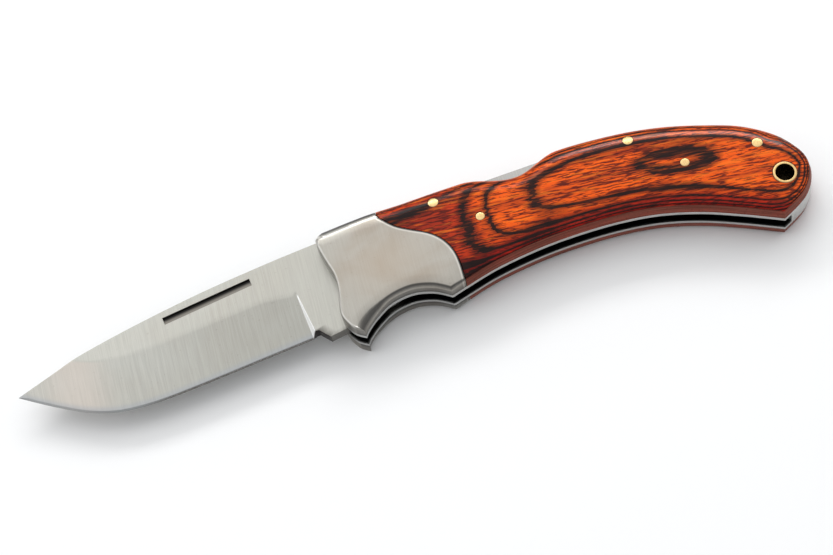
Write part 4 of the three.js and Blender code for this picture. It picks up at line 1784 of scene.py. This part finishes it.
@dataclass
class Figure:
    """The figure of the wood: how many veneers the side's cut has gone through at a place.

    It is levels times the product of 1 - exp(-d / spread) over the belly, the back and the butt,
    where d is the distance from each, plus a long low hump for the eye. On the seam's side the
    factor climbs in the same way, but from a floor, and its distance is log(1 + exp(k u)) / k, which
    eases out instead of stopping at 0.
    """

    shape: SideShape
    levels: float = 5.62
    spreads: Triple = (2.36, 2.08, 1.31)
    left_spread: float = 11.3
    left_start: float = 21.6
    left_ease: float = 5.0
    left_floor: float = 0.4
    cut_levels: float = 1.2
    steepest_run: float = 0.25
    line_width: float = 0.72
    eye: tuple[float, float] = (77.4, 6.3)
    eye_size: tuple[float, float] = (11.5, 3.7)
    eye_turn: float = math.radians(-11.0)
    eye_height: float = 0.85
    tail: tuple[float, float] = (69.0, 6.6)
    tail_size: tuple[float, float] = (13.0, 3.6)
    socket_width: float = 0.14
    grain_slope: tuple[float, float] = (-0.06, -0.1)
    grain_start: float = 20.0
    grain_length: float = 85.0

    # In x: where the lines fray by the bolster, and the middle and width of the first arch's frayed
    # and thick stretches. Then the reach of the wall, of the back's rounding, which gets a painted
    # highlight, and of its bright band.
    bolster_fray = (30.0, 25.5)
    arch_fray = (40.5, 3.0)
    arch_thick = (41.5, 4.0)
    wall_reach = (0.75, 0.5)
    wall_top = (2.65, 2.5)
    shoulder_reach = (1.3, 0.5)
    band_line = (3.5, 0.9)
    band_run = (46.0, 56.0)

    def __post_init__(self) -> None:
        """Takes the belly, the back and the butt from the outline, without the thumb scoop."""
        back = self.shape.outline.back(scooped=False)
        split = self.shape.split(back)
        self.belly, self.back = self.shape.outline.belly()[::4], back[:split:4]
        self.butt = back[split::4]

    def climb(self, points: Array, line: Array, spread: float) -> tuple[Array, Array]:
        """The climb 1 - exp(-d / spread) over the distance d from a line.

        Args:
            points: where to read it.
            line: the line's points.
            spread: how slowly it climbs.

        Returns:
            The climb and its gradient.
        """
        distance, index = nearest(points, line)
        away = (points - line[index]) / np.maximum(distance, TINY)[:, None]
        fade = np.exp(-distance / spread)
        return 1 - fade, (fade / spread)[:, None] * away

    def rise(self, x: Array) -> tuple[Array, Array]:
        """The seam side's factor.

        Args:
            x: places along the knife.

        Returns:
            The factor and its gradient.
        """
        u = (x - self.left_start) / self.left_spread
        eased = np.log1p(np.exp(self.left_ease * u)) / self.left_ease
        slope = (1 - self.left_floor) * np.exp(-eased) / (1 + np.exp(-self.left_ease * u))
        value = self.left_floor + (1 - self.left_floor) * (1 - np.exp(-eased))
        return value, np.stack([slope / self.left_spread, 0 * x], axis=1)

    def paint(self, scale: Thing, holes: list[Pin]) -> None:
        """Stores what the wood's material reads at each vertex.

        That is the layer number, its change along the grain, the glue lines' half width in layers,
        the shares of the wall, the back's rounding, which gets a painted highlight, the belly's side,
        which gets painted shade, streaky places and the rims round the holes, the tone, the lacquer's
        weight, and how far the grain has risen.

        Args:
            scale: the scale's object.
            holes: the pins and the tube that pass through it.
        """
        points = vertices(scale)
        flat, height = points[:, :2], np.abs(points[:, 2]) - LEVELS.liner_outer
        x, y = flat.T
        lines = (self.belly, self.back, self.butt)
        factors = [self.rise(x), *(self.climb(flat, *pair) for pair in zip(lines, self.spreads))]
        product = np.prod([value for value, _ in factors], axis=0)
        slope = sum((product / np.maximum(value, TINY))[:, None] * change for value, change in factors)
        cos, sin = math.cos(self.eye_turn), math.sin(self.eye_turn)
        turn = np.array([[cos, -sin], [sin, cos]])
        hump, gap = mound(flat, self.eye, self.eye_size, turn)
        fall = 2 * self.eye_height * hump[:, None] * (gap / self.eye_size) @ turn.T
        slope = self.levels * slope - fall
        steep = np.linalg.norm(slope, axis=1)
        cut_away = np.clip(self.shape.height(flat) - height, 0, None)
        layer = self.levels * product + self.eye_height * hump - cut_away * self.cut_levels

        # By the bolster, at the first arch and round the eye the lines fray and thicken.
        back, low = nearest(flat, self.shape.back[::2])[0], nearest(flat, self.shape.low[::2])[0]
        # The belly's side, for painted shade in the wood.
        belly = np.exp(-nearest(flat, self.belly)[0] / 3.2)
        by_arch = 0.5 * bell(x, *self.arch_fray)
        fray = 0.25 + 0.55 * smoothstep(x, *self.bolster_fray) + by_arch + 1.8 * hump
        by_bolster = smoothstep(x, 30.0, 26.0) * smoothstep(back, 2.0, 4.0)
        thick = 1 + 3.0 * hump + 1.5 * by_bolster + 1.0 * bell(x, *self.arch_thick)
        width = self.line_width * steep / (1 + 2.4 * steep)
        by_seam = smoothstep(x, 29.0, 23.0) * smoothstep(y, -3.0, 4.0)
        streaky = mound(flat, self.tail, self.tail_size, turn)[0] + 0.6 * by_seam
        wall = smoothstep(low, *self.wall_reach) * smoothstep(height, *self.wall_top)
        bright = 0.3 * np.exp(-back / 1.6) * smoothstep(x, 32.0, 22.0)
        band = bell(back, *self.band_line) * smoothstep(x, *self.band_run)
        lacquer = (0.16 + 0.5 * band) * smoothstep(back, 0.9, 1.7) * (1 - 0.6 * belly)
        sockets = sum(bell(np.hypot(*(flat - hole.place).T), hole.radius, self.socket_width)
                      for hole in holes)
        first, last = self.grain_slope
        way = (x - self.grain_start) / self.grain_length
        run = np.clip(slope[:, 0], -self.steepest_run, self.steepest_run)
        # shoulder marks the back's rounding for a painted highlight.
        paint(scale, layer=layer, layer_run=run * fray, line_width=width * thick + 0.006,
              belly=belly, wall=wall, shoulder=smoothstep(back, *self.shoulder_reach),
              streaky=np.clip(streaky, 0, 1), tone=factors[0][0] * factors[1][0] + bright,
              lacquer=lacquer * (1 - 0.9 * wall), socket=np.clip(sockets, 0, 0.85),
              grain_rise=self.grain_length * (first * way + (last - first) * way**2 / 2))


def settle(piece: Thing, body: str, slot: str, looks: dict[str, Material], *nodes: str) -> Thing:
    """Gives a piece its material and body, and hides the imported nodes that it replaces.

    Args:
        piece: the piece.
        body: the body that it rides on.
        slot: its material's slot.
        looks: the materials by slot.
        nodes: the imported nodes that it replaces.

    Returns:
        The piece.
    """
    piece.data.materials.append(looks[slot])
    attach(piece, body)
    if nodes:
        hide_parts(*nodes)
    LOG.info("%s: %d faces", piece.name, len(piece.data.polygons))
    return piece


@dataclass
class Handle:
    """The handle: liners, bolsters, scales, pins and tube, on both sides."""

    outline: HandleOutline = field(default_factory=HandleOutline)
    tube_wall: float = 0.6
    tube_proud: float = 0.03
    hole_gap: float = 0.02
    through_pins: tuple[str, ...] = ("lock_bar_pin", "spring_pin_front", "spring_pin_rear")
    scale_pins: tuple[str, ...] = ("scale_pin_front", "scale_pin_rear")
    rivets: tuple[str, ...] = ("bolster_rivet_upper", "bolster_rivet_lower")

    # Columns and rows of each plate's patch.
    bolster_grid = (120, 96)
    scale_grid = (300, 84)
    liner_grid = (260, 70)

    def __post_init__(self) -> None:
        """Works out the side's shape and the edges of its plates."""
        self.shape = SideShape(self.outline)
        self.bolster, self.scale, self.liner = self.edges()

    def edges(self) -> tuple[Edges, Edges, Edges]:
        """The four edges of a bolster, of a scale and of a liner.

        Returns:
            The three, in that order.
        """
        underside, back, front = self.outline.underside(), self.shape.back, self.outline.front()
        butt = self.shape.low[len(underside) - 1 :]
        ends = []
        for shift in (0.0, self.outline.seam_gap):
            seam = self.outline.seam(shift)
            low_place, seam_low = crossing(underside, seam)
            back_place, seam_high = crossing(back, seam)
            ends.append((low_place, back_place, cut(seam, seam_low, seam_high)))
        (low, high, seam), (scale_low, scale_high, scale_seam) = ends
        return (
            Edges(cut(underside, 0, low), seam, cut(back, 0, high), front),
            Edges(cut(underside, scale_low, len(underside) - 1), butt,
                  cut(back, scale_high, len(back) - 1), scale_seam),
            Edges(underside, butt, back, front))

    def build(self, looks: dict[str, Material]) -> list[Thing]:
        """Builds and dresses both sides.

        Args:
            looks: the materials by slot.

        Returns:
            The new pieces.
        """
        pieces = []

        def add(piece: Thing, slot: str, node: str) -> None:
            """Settles a piece on the handle."""
            pieces.append(settle(piece, "handle", slot, looks, node))

        figure, outer = Figure(self.shape), LEVELS.liner_outer
        through, tube = [Pin.of(name) for name in self.through_pins], Pin.of("lanyard_tube")
        for side in Side:
            word = side.word
            own, rivets = ([Pin.of(f"{word}_{name}") for name in names]
                           for names in (self.scale_pins, self.rivets))
            holes = [*through, *own, tube]
            seats = [*holes, Pin.of("pivot_pin"), *rivets]
            bolster = SidePiece(self.bolster, *self.bolster_grid, outer, shape=self.shape).build(
                f"bolster_{word}", side)
            self.paint_bolster(bolster)
            add(bolster, "bolster_steel", f"{word}_bolster")
            scale = SidePiece(self.scale, *self.scale_grid, outer, holes, self.hole_gap,
                              shape=self.shape, seam=Edge.FORE).build(f"scale_{word}", side)
            figure.paint(scale, holes)
            add(scale, "laminated_wood", f"{word}_scale")
            liner = LinerPlate(self.liner, *self.liner_grid, LEVELS.liner_inner, seats,
                               self.hole_gap).build(f"liner_{word}", side)
            self.paint_liner(liner)
            add(liner, "liner_steel", f"{word}_liner")
            for pin in own:
                head = RoundPiece(pin, self.shape)
                add(head.build(f"{pin.node}_head", head.rod(False), side), "brass", pin.node)
        for pin in through:
            rod = RoundPiece(pin, self.shape)
            add(rod.build(f"{pin.node}_rod", rod.rod(True)), "brass", pin.node)
        lining = RoundPiece(tube, self.shape, proud=self.tube_proud)
        ring = lining.build("lanyard_ring", lining.tube(self.tube_wall))
        self.paint_bore(ring, tube)
        add(ring, "brass", tube.node)
        return pieces

    def paint_bore(self, ring: Thing, tube: Pin) -> None:
        """Stores the painted shade inside the tube, below its ends.

        Args:
            ring: the tube's object.
            tube: its place and radius.
        """
        points = vertices(ring)
        inner = np.linalg.norm(points[:, :2] - tube.place, axis=1) < tube.radius - self.tube_wall * 0.7
        sunk = LEVELS.liner_outer + self.shape.height(points[:, :2]) - np.abs(points[:, 2])
        # Painted shade on the bore's wall, from just below the end inwards.
        paint(ring, bore=inner * smoothstep(sunk, 0.02, 0.12))

    def paint_bolster(self, bolster: Thing) -> None:
        """Stores where the painted shade of the bevels, the painted highlights of the rims and the warm
        middle are.

        The notch's wall gets a little painted shade and its bevel, found by the vertices' normals,
        more. So do the rounding outside the back's rim and a strip beside the seam. The painted
        highlights run along the back's rounding, beside the seam and along the front.

        Args:
            bolster: the bolster's object.
        """
        points = vertices(bolster)
        flat, height = points[:, :2], np.abs(points[:, 2]) - LEVELS.liner_outer
        facing = np.abs(read(bolster, "normal")[:, 2])
        low, back, seam, front = (nearest(flat, line)[0] for line in (
            self.shape.low, self.shape.back, self.bolster.rear, self.bolster.fore))
        # Painted shade on the notch's wall and bevel, on the back's steep rounding and beside the seam.
        by_notch = smoothstep(low, 2.6, 2.2)
        bevel = 0.8 * by_notch * smoothstep(facing, 0.3, 0.55) * smoothstep(facing, 0.985, 0.75)
        wall = by_notch * smoothstep(facing, 0.3, 0.1) * 0.4
        steep = smoothstep(back, 1.15, 0.9) * smoothstep(facing, 0.2, 0.45)
        beside = smoothstep(seam, 0.42, 0.3) * smoothstep(height, 2.9, 3.1)
        at_front = bell(front, 0.3, 0.2) * smoothstep(height, 2.9, 3.2)
        # Painted highlights along the seam, the front and the back's rounding.
        rims = bell(seam, 0.62, 0.16) * 0.4 + at_front * 0.8 + 0.9 * bell(back, 1.8, 0.45)
        paint(bolster, bevel=np.clip(bevel + wall + steep + beside, 0, 1),
              rim=np.clip(rims * (1 - np.clip(bevel + steep, 0, 1)), 0, 1),
              middle=mound(flat, (3.0, 1.0), (11.0, 8.0))[0] * smoothstep(height, 3.2, 3.5))

    def paint_liner(self, liner: Thing) -> None:
        """Stores the painted shade on a liner's inside, away from its outline.

        Args:
            liner: the liner's object.
        """
        points = vertices(liner)
        outline = np.vstack([self.shape.low, self.shape.back, self.shape.front])
        # Painted shade on the inner face, growing away from the outline.
        within = np.abs(points[:, 2]) < LEVELS.liner_inner + 0.02
        paint(liner, inside=within * smoothstep(nearest(points[:, :2], outline)[0], 0.1, 0.5))


@dataclass(frozen=True)
class Studio:
    """The photograph's camera, a pale floor and soft light. Lengths in metres."""

    aim: Triple = (0.00925, -0.0019, 0.0062)
    lean: float = math.radians(29.0)
    roll: float = math.radians(15.94)
    distance: float = 0.5596
    sensor: float = 36.0
    focal: float = 2300.0 / 833.0 * 36.0
    nearest_seen: float = 0.01
    floor_size: float = 6.0
    surroundings: tuple[float, float, float, float] = (0.97, 0.985, 1.0, 1.0)
    surroundings_strength: float = 0.62

    # Each soft light's name, direction from the knife, distance, width and depth, and watts.
    lamps = (
        ("overhead", (0.0, 0.45, 0.9), 1.1, (1.5, 0.9), 3.2),
        ("behind", (0.0, 0.79, 0.61), 1.2, (1.6, 0.28), 6.5),
        ("left", (-1.0, 0.2, 0.8), 1.2, (0.6, 0.9), 1.4),
        ("right", (1.0, 0.3, 0.7), 1.2, (0.6, 0.9), 1.4),
    )

    def camera(self) -> None:
        """Sets up the camera, leant over from straight above and rolled about its own axis."""
        along = np.array([1.0, 0.0, 0.0])
        rise = np.array([0.0, math.cos(self.lean), math.sin(self.lean)])
        forward = np.array([0.0, math.sin(self.lean), -math.cos(self.lean)])
        right = math.cos(self.roll) * along - math.sin(self.roll) * rise
        up = math.sin(self.roll) * along + math.cos(self.roll) * rise
        data = bpy.data.cameras.new("photograph")
        data.lens, data.sensor_width, data.clip_start = self.focal, self.sensor, self.nearest_seen
        camera = link(bpy.data.objects.new("photograph", data))
        stand(camera, right, up, -forward, np.array(self.aim) - self.distance * forward)
        bpy.context.scene.camera = camera

    def floor(self) -> None:
        """Lays the floor that the knife rests on."""
        half = self.floor_size / 2
        mesh = bpy.data.meshes.new("floor")
        corners = [(-half, -half, 0), (half, -half, 0), (half, half, 0), (-half, half, 0)]
        mesh.from_pydata(corners, [], [(0, 1, 2, 3)])
        finish = Finish("pale floor", (246, 246, 246), Roughness=0.9)
        finish.lay(finish.noise(finish.here(), (3.0, 3.0, 3.0)), (250, 250, 250))
        mesh.materials.append(finish.done())
        link(bpy.data.objects.new("floor", mesh))

    def softbox(self, name: str, direction: Triple, distance: float, size: tuple[float, float],
                power: float) -> None:
        """Hangs a soft light that faces the knife.

        Args:
            name: its name.
            direction: from the knife towards it.
            distance: how far off it hangs.
            size: its width along the knife and its depth.
            power: its power in watts.
        """
        data = bpy.data.lights.new(name, "AREA")
        data.shape, data.size, data.size_y, data.energy = "RECTANGLE", size[0], size[1], power
        back = np.array(direction) / np.linalg.norm(direction)
        side = np.cross((0.0, 1.0, 0.0), back)
        side /= np.linalg.norm(side)
        lamp = link(bpy.data.objects.new(name, data))
        stand(lamp, side, np.cross(back, side), back, np.array(self.aim) + distance * back)

    def build(self) -> None:
        """Sets up everything round the knife."""
        self.camera()
        self.floor()
        for lamp in self.lamps:
            self.softbox(*lamp)
        world = bpy.data.worlds.new("studio")
        bpy.context.scene.world = world
        world.use_nodes = True
        background = world.node_tree.nodes["Background"]
        background.inputs["Color"].default_value = self.surroundings
        background.inputs["Strength"].default_value = self.surroundings_strength
        settings = bpy.context.scene.view_settings
        settings.view_transform, settings.look = "Standard", "None"


def materials() -> dict[str, Material]:
    """Builds the finishes.

    Returns:
        The materials, by the record's slots.
    """
    return {
        "blade_steel": BladeSteel("blade steel", (187, 187, 181), (180, 177, 169)).build(),
        "bolster_steel": BolsterSteel(
            "bolster steel", (158, 155, 148), (143, 134, 123), contrast=0.05, patch_share=0.8).build(),
        "liner_steel": LinerSteel("liner steel", (196, 197, 195), (184, 182, 178), 0.3,
                                  (900.0, 2000.0, 3000.0), (300.0, 400.0, 600.0)).build(),
        "spring_steel": SatinSteel("spring steel", (158, 156, 153), (146, 144, 140), 0.34).build(),
        "brass": PlainMetal("brass", (214, 184, 130), (176, 144, 92), 0.28).build(),
        "bronze": PlainMetal("bronze", (196, 142, 84), (140, 96, 54), 0.35).build(),
        "laminated_wood": LaminatedWood().build(),
    }


def dress_nodes(looks: dict[str, Material]) -> None:
    """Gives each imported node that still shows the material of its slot.

    Args:
        looks: the materials by slot.
    """
    slots = {"lock_bar": "spring_steel", "lock_spring": "spring_steel", "pivot_pin": "spring_steel",
             "mark_washer": "bronze", "pile_washer": "bronze"}
    for name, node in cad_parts.items():
        if node.hide_render:
            continue
        slot = slots.get(name, "liner_steel")
        node.data.materials.clear()
        node.data.materials.append(looks[slot])
        LOG.info("%s: dressed in %s", name, slot)


def main() -> None:
    """Builds the knife and the studio."""
    logging.basicConfig(level=logging.INFO, format="%(name)s: %(message)s")
    looks = materials()
    pieces = Handle().build(looks)
    pieces.append(settle(Blade().build(), "blade", "blade_steel", looks, "blade"))
    dress_nodes(looks)
    Studio().build()
    LOG.info("%d pieces", len(pieces))


if __name__ == "__main__":
    main()
